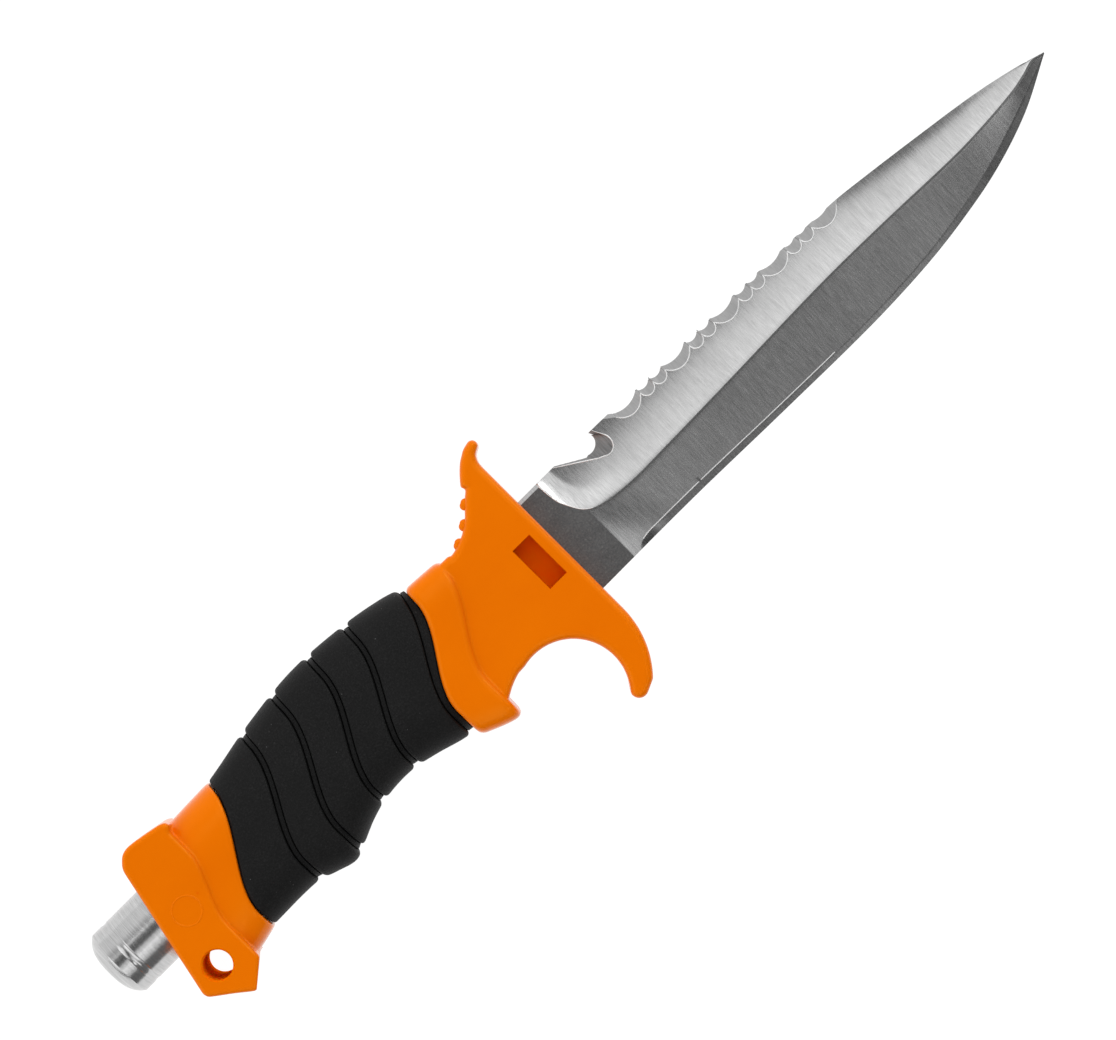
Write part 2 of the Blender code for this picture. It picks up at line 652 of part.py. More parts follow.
def sleeve_rings():
    """The sleeve's wall as rings: forwards over the lobes and grooves, then back along its inside."""
    top, bottom, half = reading(GRIP_TOP), reading(GRIP_BOTTOM), straight(GRIP_HALF)
    rear, front = along(BUTT_FRONT, GAP), along(COLLAR_REAR, -GAP)
    walls = [(rear, None)] + [(along(g, -GROOVE_HALF_WIDTH), along(g, GROOVE_HALF_WIDTH)) for g in GROOVES]
    walls.append((along(SLEEVE_FRONT), None))
    rings = []
    for i in range(len(walls) - 1):
        start = walls[i][0] if i == 0 else walls[i][1]
        end = walls[i + 1][0]
        first = [(0.0, 0.25)] if i == 0 else [(0.0, GROOVE_DEPTH), (0.015, 0.4)]
        lobe = first + [(0.07, 0.0), (0.35, 0.0), (0.65, 0.0), (0.93, 0.0), (0.985, 0.4), (1.0, GROOVE_DEPTH)]
        rings += [skin_ring(between(start, end, share), top, bottom, half, inset) for share, inset in lobe]
    rings.append(skin_ring(front, top, bottom, half, GROOVE_DEPTH))
    inner = 12
    for i in range(inner + 1):
        rings.append(skin_ring(between(front, rear, i / inner), reading(CORE_TOP), reading(CORE_BOTTOM),
                               reading(CORE_HALF), -GAP - 0.1))
    return rings


def make_sleeve(material):
    return new_object("grip_sleeve", loft("grip_sleeve", sleeve_rings(), ends_meet=True), knife_parts,
                      material)


# ---- butt ----------------------------------------------------------------------------------------------

def butt_outline():
    """The cap's block: slanted rear face, rounded top corner, wavy front lip and a lug for the lanyard."""
    lip = [(wave(BUTT_LIP, y), y) for y in (12.2, 7.0, 5.0, 3.0, 1.0, -1.0, -3.0, -5.0, -7.0, -9.0, -17.5)]
    return BUTT_CORNERS + lip + BUTT_LUG


def butt_collar_mesh():
    top, bottom = reading(BUTT_COLLAR_TOP), reading(BUTT_COLLAR_BOTTOM)
    rear, front = straight(SEAT_X - 1), along(BUTT_FRONT)
    rows = [(0.0, 1.5), (0.3, 0.4), (0.6, 0.0), (0.9, 0.0), (0.985, 0.0), (1.0, 0.3)]
    rings = [skin_ring(between(rear, front, share), top, bottom, straight(BUTT_COLLAR_HALF), inset,
                       BUTT_ROUNDNESS) for share, inset in rows]
    return loft("butt_collar", rings, strips=True)


def make_butt_cap(material):
    cap = new_object("butt_cap", plate("butt_cap", butt_outline(), HANDLE_HALF, EDGE_ROUND), knife_parts,
                     material)
    join(cap, butt_collar_mesh())
    cut(cap, core_mesh("butt_socket", SOCKET_REAR_X, -75, GAP))
    cut(cap, cylinder("stud_bore", STUD_BORE_RADIUS, (-90, 0, 0), (-112, 0, 0), 32))
    cut(cap, cylinder("counterbore", COUNTERBORE_RADIUS, (SEAT_X, 0, 0), (-125, 0, 0)))
    x, y = LANYARD_CENTRE
    cut(cap, cylinder("lanyard_hole", LANYARD_RADIUS, (x, y, -15), (x, y, 15), 32))
    return cap


def make_washer(material):
    front, rear = WASHER_X
    inner, outer = WASHER_RADII
    washer = new_object("butt_washer", cylinder("butt_washer", outer, (rear, 0, 0), (front, 0, 0)),
                        knife_parts, material)
    cut(washer, cylinder("washer_hole", inner, (rear - 2, 0, 0), (front + 2, 0, 0), 24))
    return washer


def make_o_ring(material):
    bpy.ops.mesh.primitive_torus_add(major_segments=40, minor_segments=8, major_radius=RING_RADIUS * MM,
                                     minor_radius=RING_THICKNESS_RADIUS * MM)
    mesh = bpy.context.object.data
    bpy.data.objects.remove(bpy.context.object)
    ring = new_object("pommel_o_ring", mesh, knife_parts, material)
    ring.location = (RING_X * MM, 0, 0)
    ring.rotation_euler = (0, math.pi / 2, 0)
    return ring


def pommel_profile():
    """Rounded striking end, a shallow ring groove and the face groove for the O-ring."""
    groove_half, groove_depth = POMMEL_GROOVE
    r = POMMEL_RADIUS
    end = [(POMMEL_END_X, 0.0), (POMMEL_END_X, POMMEL_FACE_RADIUS)]
    corner = [(POMMEL_END_X + POMMEL_END_ROUND * (1 - math.cos(a)),
               POMMEL_FACE_RADIUS + (r - POMMEL_FACE_RADIUS) * math.sin(a))
              for a in (math.pi / 12 * k for k in range(1, 7))]
    groove = [(POMMEL_GROOVE_X + dx, r - groove_depth * depth)
              for dx, depth in ((-groove_half, 0), (-groove_half / 2, 1), (groove_half / 2, 1),
                                (groove_half, 0))]
    ring_floor_x = RING_X - RING_THICKNESS_RADIUS - SMALL_GAP
    wide, narrow = RING_RADIUS + 0.9, RING_RADIUS - 0.9
    face = [(POMMEL_FRONT_X - 0.5, r), (POMMEL_FRONT_X, r - 0.5), (POMMEL_FRONT_X, wide),
            (ring_floor_x, wide), (ring_floor_x, narrow), (POMMEL_FRONT_X, narrow)]
    return end + corner + groove + face + [(POMMEL_FRONT_X, 0.0)]


def make_pommel(material):
    pommel = turned("pommel", pommel_profile(), knife_parts, material)
    cut(pommel, threaded_rod("bore", *BORE_THREAD, POMMEL_FRONT_X + 1, BORE_END_X))
    return pommel


# ---- assembly ------------------------------------------------------------------------------------------

clear_scene()
knife_parts = bpy.data.collections.new("rigging_knife")
cutters = bpy.data.collections.new("cutters")
for collection in (knife_parts, cutters):
    bpy.context.scene.collection.children.link(collection)

knife = bpy.data.objects.new("knife", None)
bpy.context.scene.collection.objects.link(knife)
HORN_TOP_Y = HORN_TIP_CENTRE[1] + HORN_TIP_RADIUS
HOOK_BOTTOM_Y = HOOK_TIP_CENTRE[1] - HOOK_TIP_RADIUS
knife.location = Vector((-(TIP_X + POMMEL_END_X) / 2, -(HORN_TOP_Y + HOOK_BOTTOM_Y) / 2, HANDLE_HALF)) * MM

blade_steel = make_material("blade_steel", (0.56, 0.56, 0.55), 0.32, 1.0)
turned_steel = make_material("turned_steel", (0.66, 0.66, 0.67), 0.2, 1.0)
orange_plastic = make_material("orange_plastic", (0.93, 0.2, 0.0), 0.38)
black_rubber = make_material("black_rubber", (0.018, 0.018, 0.02), 0.8)
core_plastic = make_material("core_plastic", (0.03, 0.03, 0.03), 0.55)

make_blade(blade_steel)
make_stud(turned_steel)
make_pin(turned_steel)
make_guard(orange_plastic)
make_seal(black_rubber)
make_core_half("core_left", 1, core_plastic)
make_core_half("core_right", -1, core_plastic)
make_sleeve(black_rubber)
make_butt_cap(orange_plastic)
make_washer(turned_steel)
make_o_ring(black_rubber)
make_pommel(turned_steel)
for part in knife_parts.objects:
    smooth(part)
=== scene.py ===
import math

import bmesh
import bpy
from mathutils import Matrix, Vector


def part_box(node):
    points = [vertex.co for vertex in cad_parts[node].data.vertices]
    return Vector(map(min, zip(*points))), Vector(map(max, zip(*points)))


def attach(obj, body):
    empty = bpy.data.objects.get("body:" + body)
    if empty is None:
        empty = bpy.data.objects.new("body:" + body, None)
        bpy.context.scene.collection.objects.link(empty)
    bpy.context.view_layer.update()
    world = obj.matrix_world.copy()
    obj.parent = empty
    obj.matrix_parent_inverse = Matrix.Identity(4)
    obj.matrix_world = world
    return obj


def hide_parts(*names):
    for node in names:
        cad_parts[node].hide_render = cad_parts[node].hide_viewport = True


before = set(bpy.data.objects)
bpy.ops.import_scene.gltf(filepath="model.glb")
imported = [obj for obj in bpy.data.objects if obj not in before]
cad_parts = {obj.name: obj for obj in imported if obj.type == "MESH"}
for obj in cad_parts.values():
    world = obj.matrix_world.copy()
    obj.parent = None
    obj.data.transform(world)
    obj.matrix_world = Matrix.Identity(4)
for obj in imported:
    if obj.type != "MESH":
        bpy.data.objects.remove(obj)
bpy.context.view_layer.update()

# Sizes are millimetres in the knife's own frame, as in the CAD model: +X to the tip with x = 0 on the
# guard's front face, +Y to the spine with y = 0 on the pommel's axis, and z = 0 on the blade's middle plane.
MM = 0.001
TIP_X = 138.0
_blade_low, _blade_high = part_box("blade")
_pommel_low, _pommel_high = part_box("pommel")
ORIGIN = Vector((_blade_high.x - TIP_X * MM, (_pommel_low.y + _pommel_high.y) / 2,
                 (_blade_low.z + _blade_high.z) / 2))

# Camera and light
CAMERA_TARGET = (3.2, 0.6)
CAMERA_DISTANCE = 1200.0
SENSOR_WIDTH = 36.0
VIEW_WIDTH = 223.2
VIEW_TURN = -45.0
FLOOR_REACH = 2.0  # in metres
FLOOR_GLOW = 1.0
# The tent's brightness from its dark edge-side wall past the camera's opening to its bright spine-side wall
TENT_RISE = 0.5
TENT = [(0.0, 0.13), (0.4, 0.2), (0.48, 0.13), (0.52, 0.12), (0.6, 0.16), (0.7, 0.4), (0.8, 0.5),
        (0.95, 0.95)]
# Lights: centre in metres, size in metres, radiance
SOFTBOXES = [("spine_softbox", (0.4, 0.4, 1.3), (1.2, 0.88), 1.05),
             ("key_light", (1.1, 0.28, 0.95), (0.84, 0.8), 1.85),
             ("tip_softbox", (1.3, 0.2, 0.75), (1.4, 1.2), 1.0),
             ("butt_softbox", (-1.2, -0.1, 0.9), (1.6, 1.6), 1.1),
             ("edge_softbox", (-0.22, -0.42, 1.3), (0.56, 0.3), 0.8),
             ("edge_fill", (0.29, -0.9, 1.3), (0.4, 0.3), 2.0),
             ("heel_fill", (0.34, -0.27, 1.3), (0.24, 0.2), 0.8),
             ("pommel_strip", (-0.42, -1.0, 1.3), (0.4, 0.9), 1.3)]

# Blade
BLADE_HALF = 1.6
RICASSO_TOP_Y = 8.75
CHAMFER_Y = 7.95
CHAMFER_HALF = 1.2
RICASSO_BOTTOM_Y = -15.45
SHOULDER_X = -5.0
PLUNGE_X = 5.1
PLUNGE_END_X = 22.0
PLUNGE_FILLET = 4.2
PLUNGE_FADE = 9.0
PLUNGE = [(5.1, 7.95), (5.3, 5.6), (5.6, 3.5), (6.1, 2.2), (6.65, 1.1), (7.4, -0.25), (8.25, -1.4),
          (9.7, -2.5), (11.5, -3.2), (13.9, -3.75), (18.0, -4.15), (22.0, -4.3)]
# The flat strip this wide beside the ridge takes the dark ricasso steel: a painted shadow line along the
# ridge.
RIDGE_FLAT = 0.45
RIDGE_TIP_SHARE = 0.12  # how fast the flat beside the ridge narrows to the tip
# The next three set a narrow strip above the edge bevel that takes the bright steel: a painted highlight
# along the bevel's shoulder.
PAINTED_HIGHLIGHT_WIDTH = 0.2
PAINTED_HIGHLIGHT_START = 0.4  # the share of EDGE_RUN where the painted highlight line starts
PAINTED_HIGHLIGHT_END_X = 66.0
BELLY_PAINTED_LIGHT = (62.0, 112.0)  # where the edge bevel is painted lighter, as a painted reflection
NICK = (28.5, 29.3, -13.3)  # a dark grinding mark over the edge: x from and to, and its top
UPPER_ROWS = 14
LOWER_ROWS = 12
# The radius of the thin bright beads along the cuts and the plunge line, which are painted highlights.
HIGHLIGHT_BEAD_RADIUS = 0.15
TIP_TAPER = [(106, 1.0), (118, 0.9), (126, 0.7), (132, 0.44), (136, 0.2), (138, 0.06)]
HEEL_X = 8.9
HEEL_FILLET = 12.0
EDGE_START_X = 10.9
EDGE_RUN = 4.5
EDGE_ROWS = (0.33, 0.67, 1.0)
UPPER_SLOPE = 0.078
UPPER_HOLLOW = 0.19
TIP_SLOPE_LOSS = 0.032  # the upper bevel flattens towards the tip
TIP_SLOPE_X = 85.0
TIP_SLOPE_RUN = 30.0
EDGE_BEVEL_HALF = 0.35
EDGE_HALF = 0.03
SPINE = [(-10, 8.75), (10, 8.75), (25, 8.55), (50, 7.9), (86, 6.75), (95, 5.8), (110, 3.8), (122, 2.0),
         (131, 0.1), (138, -1.9)]
EDGE = [(-10, -15.45), (25, -15.4), (50, -15.9), (75, -16.2), (91, -15.55), (103, -14.15), (115, -11.8),
        (127, -7.8), (138, -2.15)]
RIDGE = [(22, -4.3), (46, -3.8), (74, -3.1), (91, -3.3), (111, -3.9), (120, -3.6), (128, -2.9),
         (132, -2.1), (135, -1.3), (138, -1.97)]
EDGE_BEVEL_WIDTH = [(10, 1.5), (30, 1.45), (60, 1.3), (95, 1.4), (115, 1.8), (128, 1.6), (138, 0.06)]
# The notch on the far and the near face: the ramp's start and end, then the hook's centre, radius, angles
# and lip
NOTCH = [((8.95, 9.6), (15.6, 5.72), (17.3, 7.9), 2.35, 250, 368, (19.65, 8.6)),
         ((8.2, 9.6), (17.7, 3.55), (20.0, 5.0), 2.25, 236, 390, (20.75, 8.5))]
NEAR_FACE_Z = 0.8
SERRATION_START_X = 25.8
SERRATION_TOP_Y = 8.25
SERRATION_FALL = 0.0128
BIG_SCALLOP = (6.8, 1.05)
SMALL_SCALLOP = (3.4, 0.85)
SERRATION_GROUPS = 4
SERRATION_SHIFT = (0.15, -1.45)
NEAR_DEPTH = 0.9
FAR_FACE_Z = -0.8
CUTTER_TOP_Y = 14.0
TANG_HALF_WIDTH = 6.0
TANG = [(-85.5, 3.6), (-72.0, 3.6), (-60.0, 6.0), (-3.0, 6.0)]
PIN_X = -79.5
PIN_HOLE_RADIUS = 1.15

# Guard
GUARD_HALF = 9.4
HANDLE_HALF = 10.6
GUARD_ROUND = 1.3
CHOIL_CENTRE = (-19.3, -26.3)
CHOIL_RADIUS = 11.3
HOOK_CENTRE = (-20.2, -21.0)
HOOK_RADIUS = 20.2
HOOK_TIP_CENTRE = (-9.05, -34.45)
HOOK_TIP_RADIUS = 1.95
HORN_TIP_CENTRE = (1.55, 23.1)
HORN_TIP_RADIUS = 1.15
RIB_CENTRES = [(-14.45, 10.95), (-11.0, 12.95), (-7.95, 15.75)]
RIB_SPAN = (0.5, 0.28)
RIB_RADIUS = 0.95
POCKET = (-7.6, -2.9, -8.0, 2.6)
POCKET_FLOOR_Z = 4.2

# Wavy parting lines: x at the top, x at the bottom, and the y between which the line swings over
COLLAR_FRONT = (-19.4, -28.9, 9.6, -12.0)
COLLAR_REAR = (-28.4, -37.8, 9.0, -12.0)
SLEEVE_FRONT = (-29.7, -39.4, 12.3, -12.0)
GROOVES = [(-71.6, -80.6, 12.0, -12.0), (-61.9, -70.9, 12.0, -12.0), (-51.6, -60.9, 12.0, -12.0),
           (-42.1, -51.2, 12.0, -12.0)]
BUTT_FRONT = (-83.3, -94.0, 11.5, -13.0)
BUTT_LIP = (-95.0, -99.7, 5.8, -10.0)
GAP = 0.3

# Grip
GRIP_TOP = [(-96, 12.7), (-84, 13.0), (-70, 15.5), (-56, 17.0), (-42, 16.1), (-33, 14.5), (-28, 12.9)]
GRIP_BOTTOM = [(-96, -16.5), (-82, -16.5), (-77.5, -17.9), (-73.2, -19.0), (-69.5, -17.6), (-65, -15.7),
               (-60, -14.4), (-53, -14.1), (-47, -15.3), (-41, -17.0), (-37, -17.6)]
GRIP_HALF = 10.3
GROOVE_DEPTH = 1.15
GROOVE_HALF_WIDTH = 0.7
GROOVE_FLOOR = 0.75  # the depth of a groove's floor between the creases along its walls
LIP_PLACES = [0.0, 0.03, 0.08, 0.16, 0.28, 0.42, 0.6, 0.9]
REAR_LIP = [(0.0, 0.5), (0.12, 0.18), (0.4, 0.03)]  # distance from the sleeve's rear edge and dip
MIDDLE_ROWS = 10
CORE_TOP = [(-98, 9.7), (-84, 10.0), (-70, 12.4), (-56, 13.8), (-42, 12.9), (-30, 9.4), (-20, 8.9)]
CORE_BOTTOM = [(-98, -13.4), (-84, -13.4), (-73, -15.3), (-66, -13.4), (-56, -11.2), (-47, -12.0),
               (-40, -12.9), (-30, -12.6), (-20, -11.6)]
CORE_HALF = [(-98, 7.2), (-84, 7.2), (-38, 7.2), (-30, 6.9), (-20, 6.6)]
SOCKET_FRONT_X = -20.0
SOCKET_REAR_X = -97.5
SLEEVE_ROUNDNESS = 2.9
COLLAR_ROUNDNESS = 7.0
BUTT_ROUNDNESS = 3.6
RING_POINTS = 128

# Butt cap
BUTT_COLLAR_TOP = [(-106, 12.4), (-96, 12.7), (-83, 13.05)]
BUTT_COLLAR_BOTTOM = [(-106, -18.6), (-100, -18.1), (-96, -17.2), (-93, -16.4)]
BUTT_COLLAR_HALF = 9.8
BUTT_ROUND = 0.8
LANYARD_CENTRE = (-106.7, -14.1)
LANYARD_RADIUS = 3.05
LANYARD_LEAN = 0.02  # the hole's axis leans this much along X for each millimetre along Z
LUG_SIDE = [(-108.0, -25.0), (-99.85, -18.25), (-90.0, -18.25), (-90.0, -30.0)]
LUG_DRAFT = 0.07  # the lug's front side leans back towards its far face
LUG_CUTTER_Z = (-14.0, 12.0)
MARK_CENTRE = (-103.6, -2.2)
MARK_RADIUS = 3.05
MARK_BEAD = 0.16
MARK_HEIGHT = 0.4  # the bead's height as a share of its width
GATE_CENTRE = (-99.6, -1.2)
GATE_RADIUS = 0.2
GATE_DEPTH = 0.15
HOLE_STEPS = 96
SEAT_X = -104.2
COUNTERBORE_RADIUS = 8.15
STUD_BORE_RADIUS = 4.35

# Pommel, washer, O-ring and stud
POMMEL_END_X = -124.1
POMMEL_FRONT_X = -105.2
POMMEL_BODY_RADIUS = 7.68
POMMEL_HEAD_RADIUS = 7.72
POMMEL_NECK = (-117.4, -118.95, 0.14)  # front, rear and depth
POMMEL_DOME_X = -121.35
DOME_SWEEP = 62.0  # the dome's share of a quarter round, in degrees, before it meets the head in a crease
POMMEL_FACE_RADIUS = 2.4
BORE_END_X = -118.2
WASHER_X = (-104.35, -105.05)
WASHER_RADII = (4.3, 7.7)
RING_RADIUS = 6.0
RING_THICKNESS_RADIUS = 0.75
RING_X = -105.95
THREAD_PITCH = 1.25
STUD_THREAD = (3.3, 3.95, (0.08, 0.4))
BORE_THREAD = (3.55, 4.2, (0.14, 0.46))
STUD_RADIUS = 4.0
STUD_HEAD_RADIUS = 5.2
STUD_HEAD_FRONT_X = -74.0
STUD_HEAD_REAR_X = -89.0
STUD_END_X = -116.6
TURNED_STEPS = 128


# ---- helpers ----

def spline(points, x):
    """The height at x of a smooth line through points, which are in order of x."""
    if x <= points[0][0]:
        return points[0][1]
    if x >= points[-1][0]:
        return points[-1][1]
    i = max(k for k in range(len(points) - 1) if points[k][0] <= x)

    def slope(k):
        low, high = max(k - 1, 0), min(k + 1, len(points) - 1)
        return (points[high][1] - points[low][1]) / (points[high][0] - points[low][0])

    (x0, y0), (x1, y1) = points[i], points[i + 1]
    run = x1 - x0
    t = (x - x0) / run
    rise = 3 * t ** 2 - 2 * t ** 3
    return (y0 * (1 - rise) + y1 * rise + slope(i) * run * t * (1 - t) ** 2
            - slope(i + 1) * run * t ** 2 * (1 - t))


def smoothstep(t):
    t = min(max(t, 0.0), 1.0)
    return t * t * (3 - 2 * t)


def wave(line, y):
    """The x of a wavy parting line at y."""
    x_top, x_bottom, y_top, y_bottom = line
    return x_bottom + (x_top - x_bottom) * smoothstep((y - y_bottom) / (y_top - y_bottom))


def wave_stretch(line, y):
    """How much wider than its true width a groove along the line is in X, where the line leans."""
    step = 0.1
    lean = (wave(line, y + step) - wave(line, y - step)) / (2 * step)
    return math.hypot(1, lean)


def arc(centre, radius, start, end, steps):
    """Points on an arc, with its angles in degrees."""
    angles = [math.radians(start + (end - start) * i / steps) for i in range(steps + 1)]
    return [(centre[0] + radius * math.cos(a), centre[1] + radius * math.sin(a)) for a in angles]


def circle(steps):
    """The cosine and sine of evenly spaced angles round a circle."""
    return [(math.cos(2 * math.pi * k / steps), math.sin(2 * math.pi * k / steps)) for k in range(steps)]


def curve_through(points, steps=5):
    """A smooth open line through points, ends included."""
    line = []
    for i in range(len(points) - 1):
        before = points[max(i - 1, 0)]
        a, b = points[i], points[i + 1]
        after = points[min(i + 2, len(points) - 1)]
        for k in range(steps):
            t = k / steps
            weights = (-t ** 3 + 2 * t ** 2 - t, 3 * t ** 3 - 5 * t ** 2 + 2, -3 * t ** 3 + 4 * t ** 2 + t,
                       t ** 3 - t ** 2)
            line.append(tuple(sum(w * p[axis] for w, p in zip(weights, (before, a, b, after))) / 2
                              for axis in (0, 1)))
    return line + [points[-1]]


def mesh_of(name, bm):
    mesh = bpy.data.meshes.new(name)
    bm.to_mesh(mesh)
    bm.free()
    return mesh


def cleaned(mesh, distance):
    """The mesh with points closer than distance millimetres merged and its faces turned outwards."""
    bm = bmesh.new()
    bm.from_mesh(mesh)
    bmesh.ops.remove_doubles(bm, verts=bm.verts, dist=distance * MM)
    bmesh.ops.recalc_face_normals(bm, faces=bm.faces)
    bm.to_mesh(mesh)
    bm.free()
    return mesh


def mesh_from(name, points, faces):
    mesh = bpy.data.meshes.new(name)
    mesh.from_pydata([Vector(p) * MM for p in points], [], faces)
    return cleaned(mesh, 0.001)


def loft(name, rings, ends_meet=False, strips=False):
    """A skin over rings of equally many points. Its ends are capped, or joined into a tube's wall. The
    caps are single faces, or strips across Z for wavy ends."""
    count = len(rings[0])
    points = [p for ring in rings for p in ring]
    faces = []
    for r in range(len(rings) if ends_meet else len(rings) - 1):
        here, there = r * count, (r + 1) % len(rings) * count
        for i in range(count):
            j = (i + 1) % count
            faces.append((here + i, here + j, there + j, there + i))
    for start in () if ends_meet else (0, (len(rings) - 1) * count):
        if strips:
            faces += [(start + i, start + i + 1, start + count - i - 1, start + (count - i) % count)
                      for i in range(count // 2)]
        else:
            faces.append(tuple(range(start, start + count)))
    return mesh_from(name, points, faces)


def plate(name, outline, half, edge_round):
    """A flat outline with its thickness and rounded rims, as a mesh made from a filled 2D curve."""
    curve = bpy.data.curves.new(name, "CURVE")
    curve.dimensions = "2D"
    curve.fill_mode = "BOTH"
    curve.extrude = (half - edge_round) * MM
    curve.bevel_depth = edge_round * MM
    curve.bevel_resolution = 3
    curve.offset = -edge_round * MM
    line = curve.splines.new("POLY")
    line.points.add(len(outline) - 1)
    for point, (x, y) in zip(line.points, outline):
        point.co = (x * MM, y * MM, 0, 1)
    line.use_cyclic_u = True
    drawn = bpy.data.objects.new(name, curve)
    bpy.context.scene.collection.objects.link(drawn)
    graph = bpy.context.evaluated_depsgraph_get()
    mesh = bpy.data.meshes.new_from_object(drawn.evaluated_get(graph))
    bpy.data.objects.remove(drawn)
    return cleaned(mesh, 0.005)


def cylinder(name, radius, start, end, steps=TURNED_STEPS):
    start, end = Vector(start) * MM, Vector(end) * MM
    bm = bmesh.new()
    bmesh.ops.create_cone(bm, cap_ends=True, segments=steps, radius1=radius * MM, radius2=radius * MM,
                          depth=(end - start).length)
    turn = (end - start).to_track_quat("Z", "Y").to_matrix().to_4x4()
    bmesh.ops.transform(bm, matrix=turn, verts=bm.verts)
    bmesh.ops.translate(bm, vec=(start + end) / 2, verts=bm.verts)
    return mesh_of(name, bm)


def box(name, low, high):
    low, high = Vector(low) * MM, Vector(high) * MM
    bm = bmesh.new()
    bmesh.ops.create_cube(bm, size=1.0)
    bmesh.ops.scale(bm, vec=high - low, verts=bm.verts)
    bmesh.ops.translate(bm, vec=(low + high) / 2, verts=bm.verts)
    return mesh_of(name, bm)


def turned(name, profile, steps=TURNED_STEPS, closed=False):
    """A turned shape about the X axis. The profile holds (x, radius)."""
    rings = [[(x, r * c, r * s) for x, r in profile] for c, s in circle(steps)]
    count = len(profile)
    faces = []
    for k in range(steps):
        here, there = k * count, (k + 1) % steps * count
        for i in range(count if closed else count - 1):
            j = (i + 1) % count
            faces.append((here + i, here + j, there + j, there + i))
    return mesh_from(name, [p for ring in rings for p in ring], faces)


def threaded_rod(name, root, crest, flats, x_front, x_rear, steps=48, rows=12):
    """A right-handed threaded rod about the X axis, whose thread runs out over its first and last half
    turn. flats holds the half widths of the thread at its crest and at its root, as shares of the pitch."""
    places = round((x_front - x_rear) / THREAD_PITCH * rows)
    rings = []
    for i in range(places + 1):
        x = x_front + (x_rear - x_front) * i / places
        ends = min(1.0, (x_front - x) / THREAD_PITCH * 2, (x - x_rear) / THREAD_PITCH * 2)
        ring = []
        for k in range(steps):
            turn = k / steps
            off_crest = abs((x / THREAD_PITCH - turn + 0.5) % 1.0 - 0.5)
            height = min(max((flats[1] - off_crest) / (flats[1] - flats[0]), 0.0), 1.0)
            radius = root + (crest - root) * height * ends
            ring.append((x, radius * math.cos(2 * math.pi * turn), radius * math.sin(2 * math.pi * turn)))
        rings.append(ring)
    return loft(name, rings)


def new_object(name, mesh, material=None):
    obj = bpy.data.objects.new(name, mesh)
    bpy.context.scene.collection.objects.link(obj)
    obj.location = ORIGIN
    if material:
        mesh.materials.clear()
        mesh.materials.append(material)
    return obj


def joined(name, meshes):
    """One mesh that holds copies of several, overlapping as they are."""
    bm = bmesh.new()
    for mesh in meshes:
        bm.from_mesh(mesh)
    return mesh_of(name, bm)


def apply_modifiers(obj):
    graph = bpy.context.evaluated_depsgraph_get()
    mesh = bpy.data.meshes.new_from_object(obj.evaluated_get(graph), depsgraph=graph)
    obj.modifiers.clear()
    obj.data = mesh


def combine(target, mesh, operation, material=None):
    """A boolean with a mesh, whose cut faces keep the mesh's material if it has one."""
    if material:
        mesh.materials.append(material)
    other = new_object("cutter", mesh)
    modifier = target.modifiers.new(operation.title(), "BOOLEAN")
    modifier.operation = operation
    modifier.object = other
    if material:
        modifier.material_mode = "TRANSFER"
    apply_modifiers(target)
    bpy.data.objects.remove(other)


def cut(target, mesh, material=None):
    combine(target, mesh, "DIFFERENCE", material)


def join(target, mesh):
    combine(target, mesh, "UNION")


def moulded(name, mesh, material, voxel, rounds):
    """Overlapping shapes become one moulding: skinned at the voxel's size, with its corners softened."""
    obj = new_object(name, mesh)
    skin = obj.modifiers.new("skin", "REMESH")
    skin.mode = "VOXEL"
    skin.voxel_size = voxel * MM
    soften = obj.modifiers.new("soften", "SMOOTH")
    soften.factor = 0.5
    soften.iterations = rounds
    apply_modifiers(obj)
    obj.data.materials.clear()
    obj.data.materials.append(material)
    return obj


def shade(obj, degrees=30):
    obj.data.shade_smooth()
    obj.data.set_sharp_from_angle(angle=math.radians(degrees))


def settle(obj, body, *nodes, slot=None):
    """The finished piece stands for its CAD nodes and rides on their body."""
    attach(obj, body)
    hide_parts(*nodes)


# ---- materials ----

